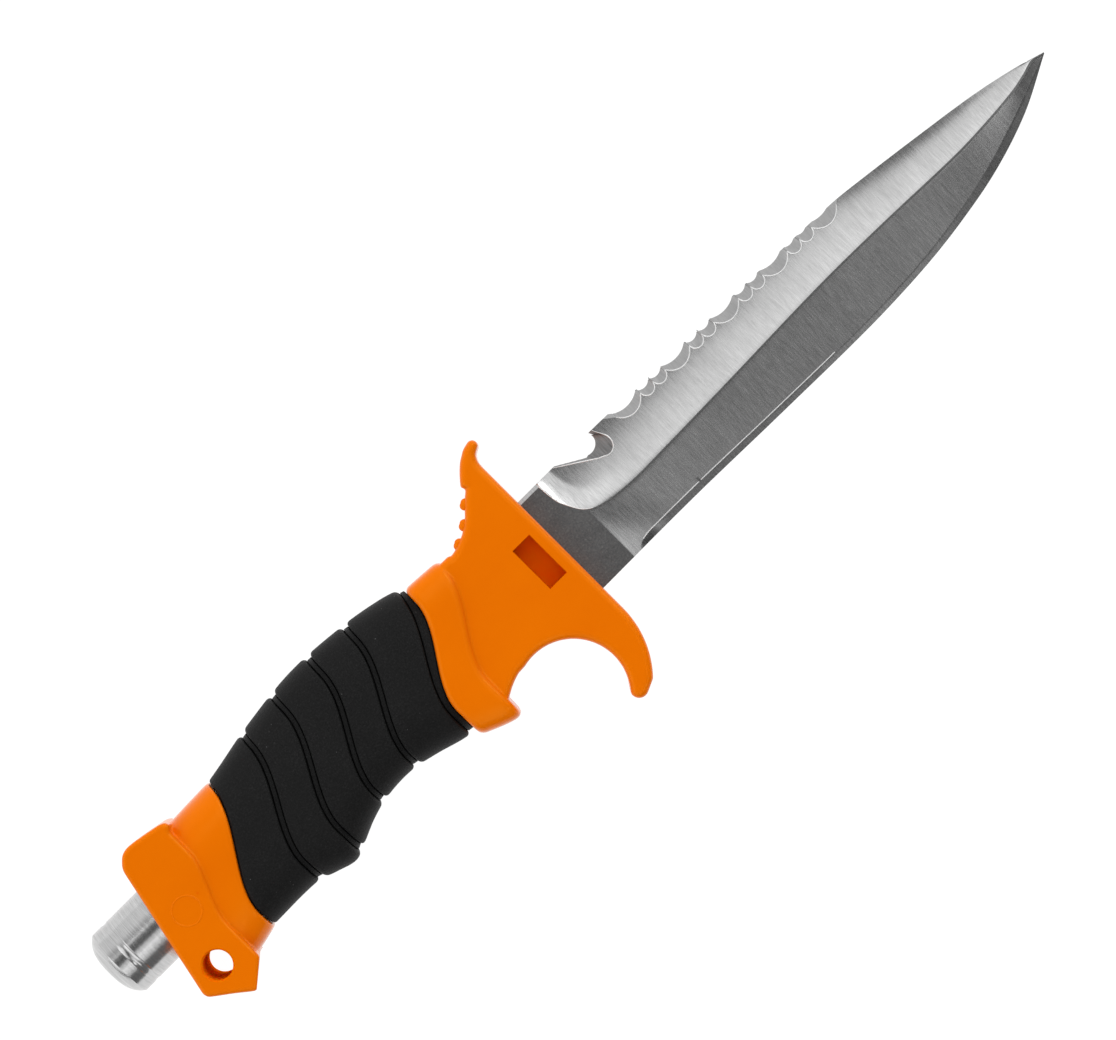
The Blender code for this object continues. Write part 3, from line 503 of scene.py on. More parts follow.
class Finish:
    """A procedural material in the making, with its object coordinates in millimetres."""

    def __init__(self, name, roughness, metallic=0.0, specular=0.5):
        self.material = bpy.data.materials.new(name)
        self.material.use_nodes = True
        self.tree = self.material.node_tree
        self.shader = self.tree.nodes["Principled BSDF"]
        self.set("Roughness", roughness)
        self.set("Metallic", metallic)
        self.set("Specular IOR Level", specular)
        self.coordinates = self.tree.nodes.new("ShaderNodeTexCoord").outputs["Object"]

    def set(self, socket, value):
        self.shader.inputs[socket].default_value = value

    def drive(self, socket, output):
        self.tree.links.new(output, self.shader.inputs[socket])

    def noise(self, cycles, detail=3.0, roughness=0.55):
        """Noise with so many cycles for each millimetre along X, Y and Z."""
        mapping = self.tree.nodes.new("ShaderNodeMapping")
        mapping.inputs["Scale"].default_value = [c / MM for c in cycles]
        self.tree.links.new(self.coordinates, mapping.inputs["Vector"])
        texture = self.tree.nodes.new("ShaderNodeTexNoise")
        texture.inputs["Scale"].default_value = 1.0
        texture.inputs["Detail"].default_value = detail
        texture.inputs["Roughness"].default_value = roughness
        self.tree.links.new(mapping.outputs["Vector"], texture.inputs["Vector"])
        return texture.outputs["Fac"]

    def ramp(self, value, stops):
        return ramp(self.tree, value, stops)

    def blend(self, a, b, how="MULTIPLY"):
        node = self.tree.nodes.new("ShaderNodeMix")
        node.data_type = "RGBA"
        node.blend_type = how
        node.inputs["Factor"].default_value = 1.0
        self.tree.links.new(a, node.inputs[6])
        self.tree.links.new(b, node.inputs[7])
        return node.outputs[2]

    def roughen(self, value, low, high):
        """The roughness runs from low to high as a value runs from 0 to 1."""
        node = self.tree.nodes.new("ShaderNodeMapRange")
        node.inputs["To Min"].default_value = low
        node.inputs["To Max"].default_value = high
        self.tree.links.new(value, node.inputs["Value"])
        self.drive("Roughness", node.outputs["Result"])

    def emboss(self, *heights):
        """Bumps on top of each other, each a height and its depth in millimetres."""
        normal = None
        for height, depth in heights:
            node = self.tree.nodes.new("ShaderNodeBump")
            node.inputs["Strength"].default_value = 1.0
            node.inputs["Distance"].default_value = depth * MM
            self.tree.links.new(height, node.inputs["Height"])
            if normal:
                self.tree.links.new(normal, node.inputs["Normal"])
            normal = node.outputs["Normal"]
        self.drive("Normal", normal)


def ramp(tree, value, stops):
    """A colour ramp. The stops hold (place, colour), and a colour may be one grey number."""
    node = tree.nodes.new("ShaderNodeValToRGB")
    elements = node.color_ramp.elements
    while len(elements) < len(stops):
        elements.new(0.5)
    for element, (place, colour) in zip(elements, stops):
        element.position = place
        rgb = (colour,) * 3 if isinstance(colour, float) else colour
        element.color = (*rgb, 1.0)
    tree.links.new(value, node.inputs["Fac"])
    return node.outputs["Color"]


def orange_plastic(name, specular, translucency=0.0):
    """Glossy moulded plastic with a fine texture and faint flow marks."""
    finish = Finish(name, 0.3, specular=specular)
    finish.set("Specular Tint", (1.0, 0.6, 0.1, 1.0))
    if translucency:
        finish.set("Subsurface Weight", translucency)
        finish.set("Subsurface Scale", 3.0 * MM)
    flow = finish.noise((0.05, 0.09, 0.07), detail=4.0)
    finish.drive("Base Color", finish.ramp(flow, [(0.3, (0.85, 0.166, 0.0)), (0.7, (0.88, 0.18, 0.0))]))
    grain = finish.noise((3.0, 3.0, 3.0), detail=2.0)
    finish.roughen(grain, 0.16, 0.24)
    finish.emboss((grain, 0.006))
    return finish.material


def black_rubber():
    """Thermoplastic rubber with a fine pebbled texture and a few pale specks."""
    finish = Finish("black_rubber", 0.6, specular=0.16)
    pebbles = finish.noise((3.0, 3.0, 3.0), roughness=0.7)
    fine = finish.ramp(pebbles, [(0.35, 0.003), (0.55, 0.008), (0.75, 0.023)])
    clouds = finish.ramp(finish.noise((0.12, 0.12, 0.12)), [(0.3, 0.75), (0.7, 1.0)])
    specks = finish.ramp(finish.noise((1.6, 1.6, 1.6), detail=1.0), [(0.79, 0.0), (0.83, 0.12)])
    finish.drive("Base Color", finish.blend(finish.blend(fine, clouds), specks, "ADD"))
    finish.roughen(pebbles, 0.45, 0.8)
    finish.emboss((pebbles, 0.11))
    return finish.material


def core_plastic():
    """Plain black plastic with the fine grain of an unpolished mould."""
    finish = Finish("core_plastic", 0.55)
    grain = finish.noise((2.0, 2.0, 2.0))
    finish.drive("Base Color", finish.ramp(grain, [(0.3, 0.02), (0.7, 0.04)]))
    finish.emboss((grain, 0.02))
    return finish.material


def ground_steel(name, dark, light, roughness, lines=1.0, metallic=1.0):
    """Steel ground across the blade: fine irregular lines along Y, with a colour from dark to light. Most
    facets' copies move dark and light down or up as painted shade and painted reflection.
    """
    finish = Finish(name, roughness, metallic)
    grit = finish.noise((5.0, 0.35, 0.5), detail=4.0, roughness=0.7)
    streak = finish.noise((1.1, 0.12, 0.2))
    patch = finish.noise((0.11, 0.07, 0.1), detail=2.0)
    colour = finish.ramp(grit, [(0.28, dark), (0.72, light)])
    for shadow in (streak, patch):
        colour = finish.blend(colour, finish.ramp(shadow, [(0.3, 0.92), (0.7, 1.0)]))
    finish.drive("Base Color", colour)
    finish.roughen(grit, roughness - 0.05, roughness + 0.06)
    finish.emboss((grit, 0.005 * lines), (streak, 0.005 * lines))
    return finish.material


def ricasso_steel():
    """Rolled stock with a dull, slightly speckled finish. Its base colour is painted far darker than bare
    steel: painted shade on the ricasso's flat faces.
    """
    finish = Finish("ricasso_steel", 0.38, metallic=1.0)
    speckle = finish.noise((2.4, 2.4, 2.4), detail=4.0, roughness=0.7)
    colour = finish.ramp(speckle, [(0.3, 0.12), (0.6, 0.175), (0.78, 0.29)])
    cloud = finish.ramp(finish.noise((0.2, 0.3, 0.2)), [(0.3, 0.85), (0.7, 1.0)])
    finish.drive("Base Color", finish.blend(colour, cloud))
    finish.roughen(speckle, 0.32, 0.46)
    finish.emboss((speckle, 0.01))
    return finish.material


def turned_steel():
    """Turned steel with fine rings round the X axis."""
    finish = Finish("turned_steel", 0.25, metallic=1.0)
    rings = finish.noise((9.0, 0.15, 0.15), detail=5.0, roughness=0.75)
    bands = finish.noise((1.2, 0.1, 0.1))
    colour = finish.ramp(rings, [(0.3, 0.42), (0.7, 0.7)])
    finish.drive("Base Color", finish.blend(colour, finish.ramp(bands, [(0.3, 0.85), (0.7, 1.0)])))
    finish.roughen(rings, 0.12, 0.26)
    finish.emboss((rings, 0.008), (bands, 0.01))
    return finish.material


def floor_acrylic():
    """White acrylic, lit from below as on a product table."""
    finish = Finish("studio_acrylic", 0.9, specular=0.1)
    cloud = finish.noise((0.02, 0.02, 0.02), detail=2.0)
    finish.drive("Base Color", finish.ramp(cloud, [(0.3, 0.08), (0.7, 0.12)]))
    finish.drive("Emission Color", finish.ramp(cloud, [(0.3, 0.98), (0.7, 1.0)]))
    finish.set("Emission Strength", FLOOR_GLOW)
    return finish.material


# ---- handle skins ----

def round_section(angle, top, bottom, half, roundness):
    """A point on a squarish oval section: (y, z)."""
    c, s = math.cos(angle), math.sin(angle)
    reach = (abs(c) ** roundness + abs(s) ** roundness) ** (-1 / roundness)
    return (top + bottom) / 2 + (top - bottom) / 2 * reach * c, half * reach * s


def skin_ring(edge, top, bottom, half, inset=None, roundness=SLEEVE_ROUNDNESS, points=RING_POINTS):
    """A ring round the handle whose x follows edge(y), with an inset that may depend on the angle."""
    ring = []
    for i in range(points):
        angle = 2 * math.pi * i / points
        deep = inset(angle) if callable(inset) else (inset or 0.0)
        x = edge(0.0)
        for _ in range(8):
            y, z = round_section(angle, top(x) - deep, bottom(x) + deep, half(x) - deep, roundness)
            x = edge(y)
        ring.append((x, y, z))
    return ring


def straight(x):
    return lambda y: x


def along(line, shift=0.0):
    """An edge that follows a wavy line, moved by a true distance shift."""
    return lambda y: wave(line, y) + shift * wave_stretch(line, y)


def between(rear, front, share):
    return lambda y: rear(y) + (front(y) - rear(y)) * share


def reading(points):
    return lambda x: spline(points, x)


def core_mesh(name, x_rear, x_front, grow=0.0):
    steps = max(2, round((x_front - x_rear) / 5))
    places = [x_rear + (x_front - x_rear) * i / steps for i in range(steps + 1)]
    rings = [skin_ring(straight(x), reading(CORE_TOP), reading(CORE_BOTTOM), reading(CORE_HALF), -grow,
                       points=64) for x in places]
    return loft(name, rings)


def band(name, rear, front, top, bottom, half, roundness, rows):
    """A solid band round the handle between two edges. Its rows hold (share of the way, inset)."""
    return loft(name, [skin_ring(between(rear, front, share), top, bottom, straight(half), inset, roundness)
                       for share, inset in rows], strips=True)


# ---- blade ----

def ridge_y(x):
    """The upper bevel's lower limit: the ricasso's chamfer, the plunge line, then the ridge."""
    return spline(PLUNGE, x) if x < PLUNGE_END_X else spline(RIDGE, x)


def plunge_line():
    """Points along the plunge line, closer together than the blade's rows."""
    steps = 60
    places = [PLUNGE_X + (PLUNGE_END_X - PLUNGE_X) * (i / steps) ** 2 for i in range(steps + 1)]
    return [(PLUNGE_X, RICASSO_TOP_Y)] + [(x, spline(PLUNGE, x)) for x in places]


def upper_half(x, y, line=None):
    """Half the blade's thickness on the hollow upper bevel, which curves up to the plunge line."""
    if x <= PLUNGE_X:
        return BLADE_HALF - (BLADE_HALF - CHAMFER_HALF) * (y - CHAMFER_Y) / (RICASSO_TOP_Y - CHAMFER_Y)
    base = spline(RIDGE, max(x, PLUNGE_END_X))
    share = (y - base) / (spline(SPINE, x) - base)
    slope = UPPER_SLOPE - TIP_SLOPE_LOSS * smoothstep((x - TIP_SLOPE_X) / TIP_SLOPE_RUN)
    flat = BLADE_HALF - slope * (y - base) - UPPER_HOLLOW * 4 * share * (1 - share)
    if x >= PLUNGE_END_X:
        return flat
    away = min(math.hypot(x - a, y - b) for a, b in line or plunge_line())
    rise = (1 - min(away / PLUNGE_FILLET, 1.0)) ** 2 * smoothstep((PLUNGE_END_X - x) / PLUNGE_FADE)
    return flat + (BLADE_HALF - flat) * rise


def bevel_width(x):
    """The sharpened bevel's width, which grows in a quarter round from the place where it starts."""
    t = min(max((x - EDGE_START_X) / EDGE_RUN, 0.0), 1.0)
    return max(spline(EDGE_BEVEL_WIDTH, x) * math.sqrt(1 - (1 - t) ** 2), 0.05)


def blade_side(x, line):
    """One side of the blade's section, from the spine to the edge: (y, z)."""
    spine, edge, ridge = spline(SPINE, x), spline(EDGE, x), ridge_y(x)
    width = bevel_width(x)
    bevel_y = edge + width
    rows = [spine + (ridge - spine) * i / UPPER_ROWS for i in range(UPPER_ROWS)]
    side = [(y, upper_half(x, y, line)) for y in rows]
    flat_y = ridge - min(RIDGE_FLAT, RIDGE_TIP_SHARE * (TIP_X - x)) if x > PLUNGE_X else ridge - 0.1
    side.append((ridge, BLADE_HALF))
    heel = 1 - (1 - min(max((x - HEEL_X) / HEEL_FILLET, 0.0), 1.0)) ** 2
    line_y = bevel_y + PAINTED_HIGHLIGHT_WIDTH
    full_y = edge + spline(EDGE_BEVEL_WIDTH, x)
    slope = (BLADE_HALF - EDGE_BEVEL_HALF) / (flat_y - full_y) * heel
    for i in range(LOWER_ROWS + 1):
        y = flat_y + (line_y - flat_y) * i / LOWER_ROWS
        side.append((y, BLADE_HALF - slope * (flat_y - y)))
    bevel_half = max(BLADE_HALF - slope * (flat_y - bevel_y), 0.1)
    sharp = smoothstep((x - EDGE_START_X) / EDGE_RUN)
    thin = bevel_half + (EDGE_HALF - bevel_half) * sharp
    side.append((bevel_y, bevel_half))
    side += [(bevel_y - width * t, bevel_half + (thin - bevel_half) * t) for t in EDGE_ROWS]
    taper = spline(TIP_TAPER, x)
    return [(y, z * taper) for y, z in side]


def blade_places():
    """Where the fine blade's sections stand: closest together at the plunge and the tip."""
    places, x = [SHOULDER_X, -2.0, 0.0, 2.5, 4.5], PLUNGE_X
    while x < TIP_X:
        places.append(x)
        x += 0.25 if x < 14 or x > 128 else 0.5
    return places + [TIP_X]


def blade_finish(x, y):
    """The finish of the blade's surface at a place on its side. Most finishes have a base colour painted
    lighter or darker than bare steel, as painted shade and painted reflection.
    """
    ridge = ridge_y(x)
    bevel_y = spline(EDGE, x) + bevel_width(x)
    nicked = y < NICK[2] and NICK[0] < x < NICK[1]
    if y > ridge:
        return "upper"
    # The ricasso's dark steel also covers the flat strip beside the ridge, as a painted shadow line.
    if x < HEEL_X or y > ridge - RIDGE_FLAT * 0.9:
        return "ricasso"
    # The edge bevel takes a darker copy of the ground steel: painted shade.
    if nicked or (y < bevel_y and x > EDGE_START_X):
        # The belly takes a lighter copy of the edge steel: a painted reflection.
        return "belly" if BELLY_PAINTED_LIGHT[0] < x < BELLY_PAINTED_LIGHT[1] else "edge"
    # A narrow strip above the edge bevel takes the bright steel: a painted highlight.
    if y < bevel_y + PAINTED_HIGHLIGHT_WIDTH and EDGE_START_X + EDGE_RUN * PAINTED_HIGHLIGHT_START < x < PAINTED_HIGHLIGHT_END_X:
        return "painted_highlight"
    return "lower"


def make_blade(steels):
    """The fine blade, with a steel for each ground surface, most of them painted lighter or darker as painted
    shade and painted reflection.
    """
    places, line = blade_places(), plunge_line()
    sides = [blade_side(x, line) for x in places]
    rings = [[(x, y, z) for y, z in side] + [(x, y, -z) for y, z in reversed(side)]
             for x, side in zip(places, sides)]
    mesh = loft("blade_steel", rings)
    for material in steels.values():
        mesh.materials.append(material)
    finishes = list(steels)
    for face in mesh.polygons:
        face.material_index = finishes.index(blade_finish(face.center.x / MM, face.center.y / MM))
    blade = new_object("blade_steel", mesh)
    half = BLADE_HALF - 0.05
    tang_rings = [[(x, w, half), (x, w, -half), (x, -w, -half), (x, -w, half)] for x, w in TANG]
    join(blade, loft("tang", tang_rings))
    cut(blade, cylinder("pin_hole", PIN_HOLE_RADIUS, (PIN_X, 0, -3), (PIN_X, 0, 3), 32), steels["ricasso"])
    # The cut walls take the notch and serration steels, darker copies of the ground steel: painted shade.
    for name, outline in (("notch", notch_outline), ("serration", serration_outline)):
        cut(blade, between_outlines(name, outline(0), outline(1)), steels[name])
    shade(blade, 12)
    settle(blade, "knife", "blade", slot="blade_steel")
    # Thin bright beads along the cuts and the plunge line: painted highlights.
    painted_highlight = new_object("blade_painted_highlight", painted_highlight_mesh(line), steels["painted_highlight"])
    shade(painted_highlight, 60)
    settle(painted_highlight, "knife", "blade", slot="blade_steel")


def at_height(far, near, z):
    """The place of one outline point at height z, from its places on the far and near faces."""
    share = (z - FAR_FACE_Z) / (NEAR_FACE_Z - FAR_FACE_Z)
    return tuple(f + (n - f) * share for f, n in zip(far, near))


def between_outlines(name, far, near):
    """A cutter through the blade whose outline changes from the far face to the near face."""
    reach = BLADE_HALF + 0.2
    rings = [[(*at_height(f, n, z), z) for f, n in zip(far, near)] for z in (-reach, reach)]
    return loft(name, rings)


def surface_line(far, near):
    """Where a cut meets the blade's near face: (x, y, z)."""
    line = []
    for f, n in zip(far, near):
        z = NEAR_FACE_Z
        for _ in range(6):
            x, y = at_height(f, n, z)
            z = upper_half(x, y)
        if y < spline(SPINE, x) + 0.05:
            line.append((x, y, z))
    return line


def bead(path, radius, sides=8):
    """A thin round bead along a path, tapered at both ends."""
    rings = []
    for i, point in enumerate(path):
        before, after = Vector(path[max(i - 1, 0)]), Vector(path[min(i + 1, len(path) - 1)])
        ahead = (after - before).normalized()
        out = ahead.cross(Vector((0, 0, 1))).normalized()
        up = out.cross(ahead)
        size = radius * min(1.0, 0.3 + i / 4, 0.3 + (len(path) - 1 - i) / 4)
        rings.append([Vector(point) + size * (c * out + s * up) for c, s in circle(sides)])
    return loft("bead", rings)


def painted_highlight_mesh(line):
    """Thin bright beads along the notch, the serrations and the plunge line: painted highlights where the
    cuts and the plunge meet the faces.
    """
    cuts = [bead(surface_line(outline(0)[:-2], outline(1)[:-2]), HIGHLIGHT_BEAD_RADIUS)
            for outline in (notch_outline, serration_outline)]
    plunge = [(x + 0.04, y, BLADE_HALF - 0.05) for x, y in line if x < 10.5]
    return joined("blade_painted_highlight", cuts + [bead(plunge, HIGHLIGHT_BEAD_RADIUS * 0.7)])


def scallop(x_from, top_y, width, depth, steps):
    """Points along a round scallop that hangs between two cusps, without its last one."""
    radius = width ** 2 / (8 * depth) + depth / 2
    points = []
    for i in range(steps):
        dx = width * (i / steps - 0.5)
        points.append((x_from + width * i / steps, top_y - math.sqrt(radius ** 2 - dx ** 2) + radius - depth))
    return points


def serration_outline(near):
    """Everything above the row of scallops: a wide one, then groups of two small ones and a wide one.
    The scallops are deeper and lower on the near face (1) than on the far face (0)."""
    row = [BIG_SCALLOP] + [SMALL_SCALLOP, SMALL_SCALLOP, BIG_SCALLOP] * SERRATION_GROUPS
    x = SERRATION_START_X + SERRATION_SHIFT[0] * near
    first_y = SERRATION_TOP_Y + SERRATION_SHIFT[1] * near
    outline = [(x - 2.9 * near, 9.3)]
    for width, depth in row:
        top_y = first_y - SERRATION_FALL * (x - SERRATION_START_X)
        outline += scallop(x, top_y, width, depth * (1 + NEAR_DEPTH * near), 24 if width > 4 else 16)
        x += width
    end_y = first_y - SERRATION_FALL * (x - SERRATION_START_X)
    return outline + [(x, end_y), (x + 1.6 + 1.8 * near, end_y + 3.0), (x, CUTTER_TOP_Y),
                      (SERRATION_START_X, CUTTER_TOP_Y)]


def notch_outline(near):
    """A long ramp down from the spine into a round hook, on the far face (0) or the near face (1)."""
    start, corner, centre, radius, first, last, lip = NOTCH[near]
    slope = [tuple(a + (b - a) * i / 6 for a, b in zip(start, corner)) for i in range(7)]
    hook = arc(centre, radius, first, last, 40)
    return slope + hook + [lip, (lip[0], CUTTER_TOP_Y), (8.0, CUTTER_TOP_Y)]


# ---- guard ----

def guard_outline():
    """The guard seen from the side: flat front, thumb horn, ramp, finger choil and hook."""
    horn = curve_through([(0, 19.0), (0.2, 20.2), (0.9, 21.4), (2.2, 22.15)])
    tip = arc(HORN_TIP_CENTRE, HORN_TIP_RADIUS, -42, 105, 10)
    brow = curve_through([(1.2, 24.2), (-0.2, 23.85), (-1.2, 23.3), (-2.6, 22.4), (-4.0, 21.1),
                          (-5.1, 19.9), (-5.95, 18.85)])
    ramp_line = curve_through([(-5.5, 17.9), (-7.05, 16.6), (-8.65, 15.0), (-9.8, 13.85), (-11.8, 12.4),
                               (-13.0, 11.75), (-15.4, 10.85), (-17.0, 10.55)])
    step = [(-17.4, 10.95)]
    inner = [(wave(COLLAR_FRONT, y) - 2.5, y) for y in (*range(11, -10, -2), -14)]
    inner += [(-31.0, -18.3), (-29.0, -17.7)] + curve_through([(-27.0, -16.6), (-25.4, -15.9),
                                                              (-23.8, -15.4)])
    choil = arc(CHOIL_CENTRE, CHOIL_RADIUS, 104, -36, 48)
    hook = arc(HOOK_TIP_CENTRE, HOOK_TIP_RADIUS, 170, 300, 14)
    outer = arc(HOOK_CENTRE, HOOK_RADIUS, -44, 0, 28)
    return horn + tip + brow + ramp_line + step + inner + choil + hook + outer


def collar_mesh():
    """The raised band behind the guard, which ends below in a beak that stops the finger."""
    rear, front = along(COLLAR_REAR), along(COLLAR_FRONT)
    top = reading([(-38, 12.6), (-28, 12.4), (-19, 11.8)])
    bottom = reading([(-38.2, -18.6), (-36.5, -19.4), (-31.5, -21.4), (-28, -22.0)])
    rows = [(0.0, 0.9), (0.02, 0.45), (0.06, 0.15), (0.12, 0.0), (0.25, 0.0), (0.4, 0.0), (0.55, 0.0),
            (0.7, 0.0), (0.82, 0.0), (0.9, 0.1), (0.95, 0.35), (0.98, 0.7), (1.0, 1.2)]
    return band("collar", rear, front, top, bottom, HANDLE_HALF, COLLAR_ROUNDNESS, rows)


def rounded_rod(radius, centre, half, steps=32):
    """A rod along Z whose ends are rounded over."""
    x, y = centre
    rows = [(-half, 0.35), (-half + 0.12, 0.7), (-half + 0.45, 1.0), (half - 0.45, 1.0),
            (half - 0.12, 0.7), (half, 0.35)]
    return loft("rod", [[(x + radius * share * c, y + radius * share * s, z) for c, s in circle(steps)]
                        for z, share in rows])


def make_guard(material, inside):
    shapes = [plate("guard_plate", guard_outline(), GUARD_HALF, GUARD_ROUND), collar_mesh()]
    guard = moulded("guard_moulding", joined("guard", shapes), material, 0.22, 8)
    rib_half = GUARD_HALF - 0.9
    for x, y in RIB_CENTRES:
        join(guard, rounded_rod(RIB_RADIUS, (x, y), rib_half))
        join(guard, rounded_rod(RIB_RADIUS, (x + RIB_SPAN[0], y + RIB_SPAN[1]), rib_half - 0.01))
    slot = BLADE_HALF + GAP
    cut(guard, box("blade_slot", (SHOULDER_X - GAP, RICASSO_BOTTOM_Y - GAP, -slot),
                   (5, RICASSO_TOP_Y + GAP, slot)))
    channel = TANG_HALF_WIDTH + GAP
    cut(guard, box("tang_channel", (-30, -channel, -slot - 0.01), (0, channel, slot + 0.01)))
    cut(guard, core_mesh("socket", -45, SOCKET_FRONT_X, GAP))
    x0, x1, y0, y1 = POCKET
    for side in (-1, 1):
        floor, mouth = sorted((side * POCKET_FLOOR_Z, side * (GUARD_HALF + 2)))
        cut(guard, box("latch_pocket", (x0, y0, floor), (x1, y1, mouth)), inside)
    shade(guard, 35)
    settle(guard, "knife", "guard", slot="orange_plastic")


# ---- grip ----

def lobe_inset(distance):
    """How far the skin dips at a distance from a lobe's wall. Its lip is rounder at the top and bottom."""
    def dip(angle):
        radius = 0.3 + 0.6 * abs(math.cos(angle)) ** 4
        if distance >= radius:
            return 0.0
        return radius - math.sqrt(radius ** 2 - (radius - distance) ** 2)
    return dip


def sleeve_rings():
    """The sleeve's skin from rear to front over five lobes and four grooves, then back along its inside."""
    top, bottom, half = reading(GRIP_TOP), reading(GRIP_BOTTOM), straight(GRIP_HALF)
    half_width = GROOVE_HALF_WIDTH
    starts = [(BUTT_FRONT, GAP)] + [(g, half_width) for g in GROOVES]
    ends = [(g, -half_width) for g in GROOVES] + [(SLEEVE_FRONT, 0.0)]
    rings = []

    def add(edge, inset=None):
        rings.append(skin_ring(edge, top, bottom, half, inset))

    for number, ((rear, rear_shift), (front, front_shift)) in enumerate(zip(starts, ends)):
        if number == 0:
            for distance, inset in REAR_LIP:
                add(along(rear, rear_shift + distance), inset)
        else:
            add(along(rear, rear_shift - 0.25), GROOVE_FLOOR)
            add(along(rear, rear_shift - 0.05), GROOVE_DEPTH)
            for distance in LIP_PLACES:
                add(along(rear, rear_shift + distance), lobe_inset(distance))
        inner_rear, inner_front = along(rear, rear_shift + 0.9), along(front, front_shift - 0.9)
        for k in range(1, MIDDLE_ROWS):
            add(between(inner_rear, inner_front, k / MIDDLE_ROWS))
        for distance in reversed(LIP_PLACES):
            add(along(front, front_shift - distance), lobe_inset(distance))
        add(along(front, front_shift + 0.05), GROOVE_DEPTH)
        add(along(front, front_shift + 0.3), GROOVE_FLOOR)
    rear, front = along(BUTT_FRONT, GAP), along(COLLAR_REAR, -GAP)
    add(front, GROOVE_FLOOR)
    for i in range(13):
        rings.append(skin_ring(between(front, rear, i / 12), reading(CORE_TOP), reading(CORE_BOTTOM),
                               reading(CORE_HALF), -GAP - 0.1))
    return rings


def make_sleeve(material):
    sleeve = new_object("grip_rubber", loft("grip_rubber", sleeve_rings(), ends_meet=True), material)
    shade(sleeve, 40)
    settle(sleeve, "knife", "grip_sleeve", slot="black_rubber")


# ---- butt ----

def butt_outline():
    """The cap's block: slanted rear face, rounded top corner, wavy front lip and a lug for the lanyard."""
    corner = curve_through([(-107.3, 11.4), (-107.05, 12.3), (-106.5, 13.25), (-105.3, 14.45),
                            (-104.2, 14.95), (-103.0, 15.1), (-101.1, 14.9)])
    front = [(-98.3, 14.4), (-95.6, 13.85)] + curve_through([(-94.9, 13.6), (-94.3, 13.1), (-94.1, 12.3)])
    lip = [(wave(BUTT_LIP, y), y) for y in (11.2, 9, *range(7, -10, -1), -11, -17.5)]
    lug = curve_through([(-99.9, -18.9), (-100.5, -19.4), (-102.4, -21.05), (-104.3, -22.75),
                         (-104.95, -23.05), (-105.7, -22.75), (-108.6, -20.45), (-111.9, -18.0),
                         (-112.8, -17.2), (-113.1, -16.2), (-112.95, -15.3)])
    return corner + front + lip + lug


def butt_collar_mesh():
    top, bottom = reading(BUTT_COLLAR_TOP), reading(BUTT_COLLAR_BOTTOM)
    rear, front = straight(SEAT_X - 1), along(BUTT_FRONT)
    rows = [(0.0, 1.5), (0.15, 0.9), (0.3, 0.45), (0.42, 0.2), (0.55, 0.05), (0.7, 0.0), (0.9, 0.0),
            (0.975, 0.05), (0.99, 0.15), (1.0, 0.4)]
    return band("butt_collar", rear, front, top, bottom, BUTT_COLLAR_HALF, BUTT_ROUNDNESS, rows)


def make_butt_cap(material, inside):
    shapes = [plate("butt_block", butt_outline(), HANDLE_HALF, BUTT_ROUND), butt_collar_mesh()]
    cap = moulded("butt_moulding", joined("butt_cap", shapes), material, 0.22, 8)
    cut(cap, core_mesh("butt_socket", SOCKET_REAR_X, -75, GAP))
    cut(cap, cylinder("stud_bore", STUD_BORE_RADIUS, (-90, 0, 0), (-112, 0, 0)))
    cut(cap, cylinder("counterbore", COUNTERBORE_RADIUS, (SEAT_X, 0, 0), (-125, 0, 0)))
    cut(cap, loft("lug_draft", [[(x + LUG_DRAFT * z, y, z) for x, y in LUG_SIDE] for z in LUG_CUTTER_Z]))
    x, y = LANYARD_CENTRE
    chamfer = [(-12.0, LANYARD_RADIUS + 1.6), (-10.2, LANYARD_RADIUS), (10.2, LANYARD_RADIUS),
               (12.0, LANYARD_RADIUS + 1.6)]
    rings = [[(x - LANYARD_LEAN * z + r * c, y + r * s, z) for c, s in circle(HOLE_STEPS)]
             for z, r in chamfer]
    cut(cap, loft("lanyard_hole", rings), inside)
    x, y = GATE_CENTRE
    for end in (-1, 1):
        floor, mouth = (x, y, end * (HANDLE_HALF - GATE_DEPTH)), (x, y, end * 12.0)
        cut(cap, cylinder("gate_mark", GATE_RADIUS, floor, mouth, 16), inside)
    x, y = MARK_CENTRE
    for level in (-HANDLE_HALF, HANDLE_HALF):
        ring = [(MARK_RADIUS + MARK_BEAD * c, level + MARK_BEAD * MARK_HEIGHT * s) for c, s in circle(10)]
        rings = [[(x + r * c, y + r * s, z) for r, z in ring] for c, s in circle(HOLE_STEPS)]
        join(cap, loft("mark", rings, ends_meet=True))
    shade(cap, 35)
    settle(cap, "knife", "butt_cap", slot="orange_plastic")


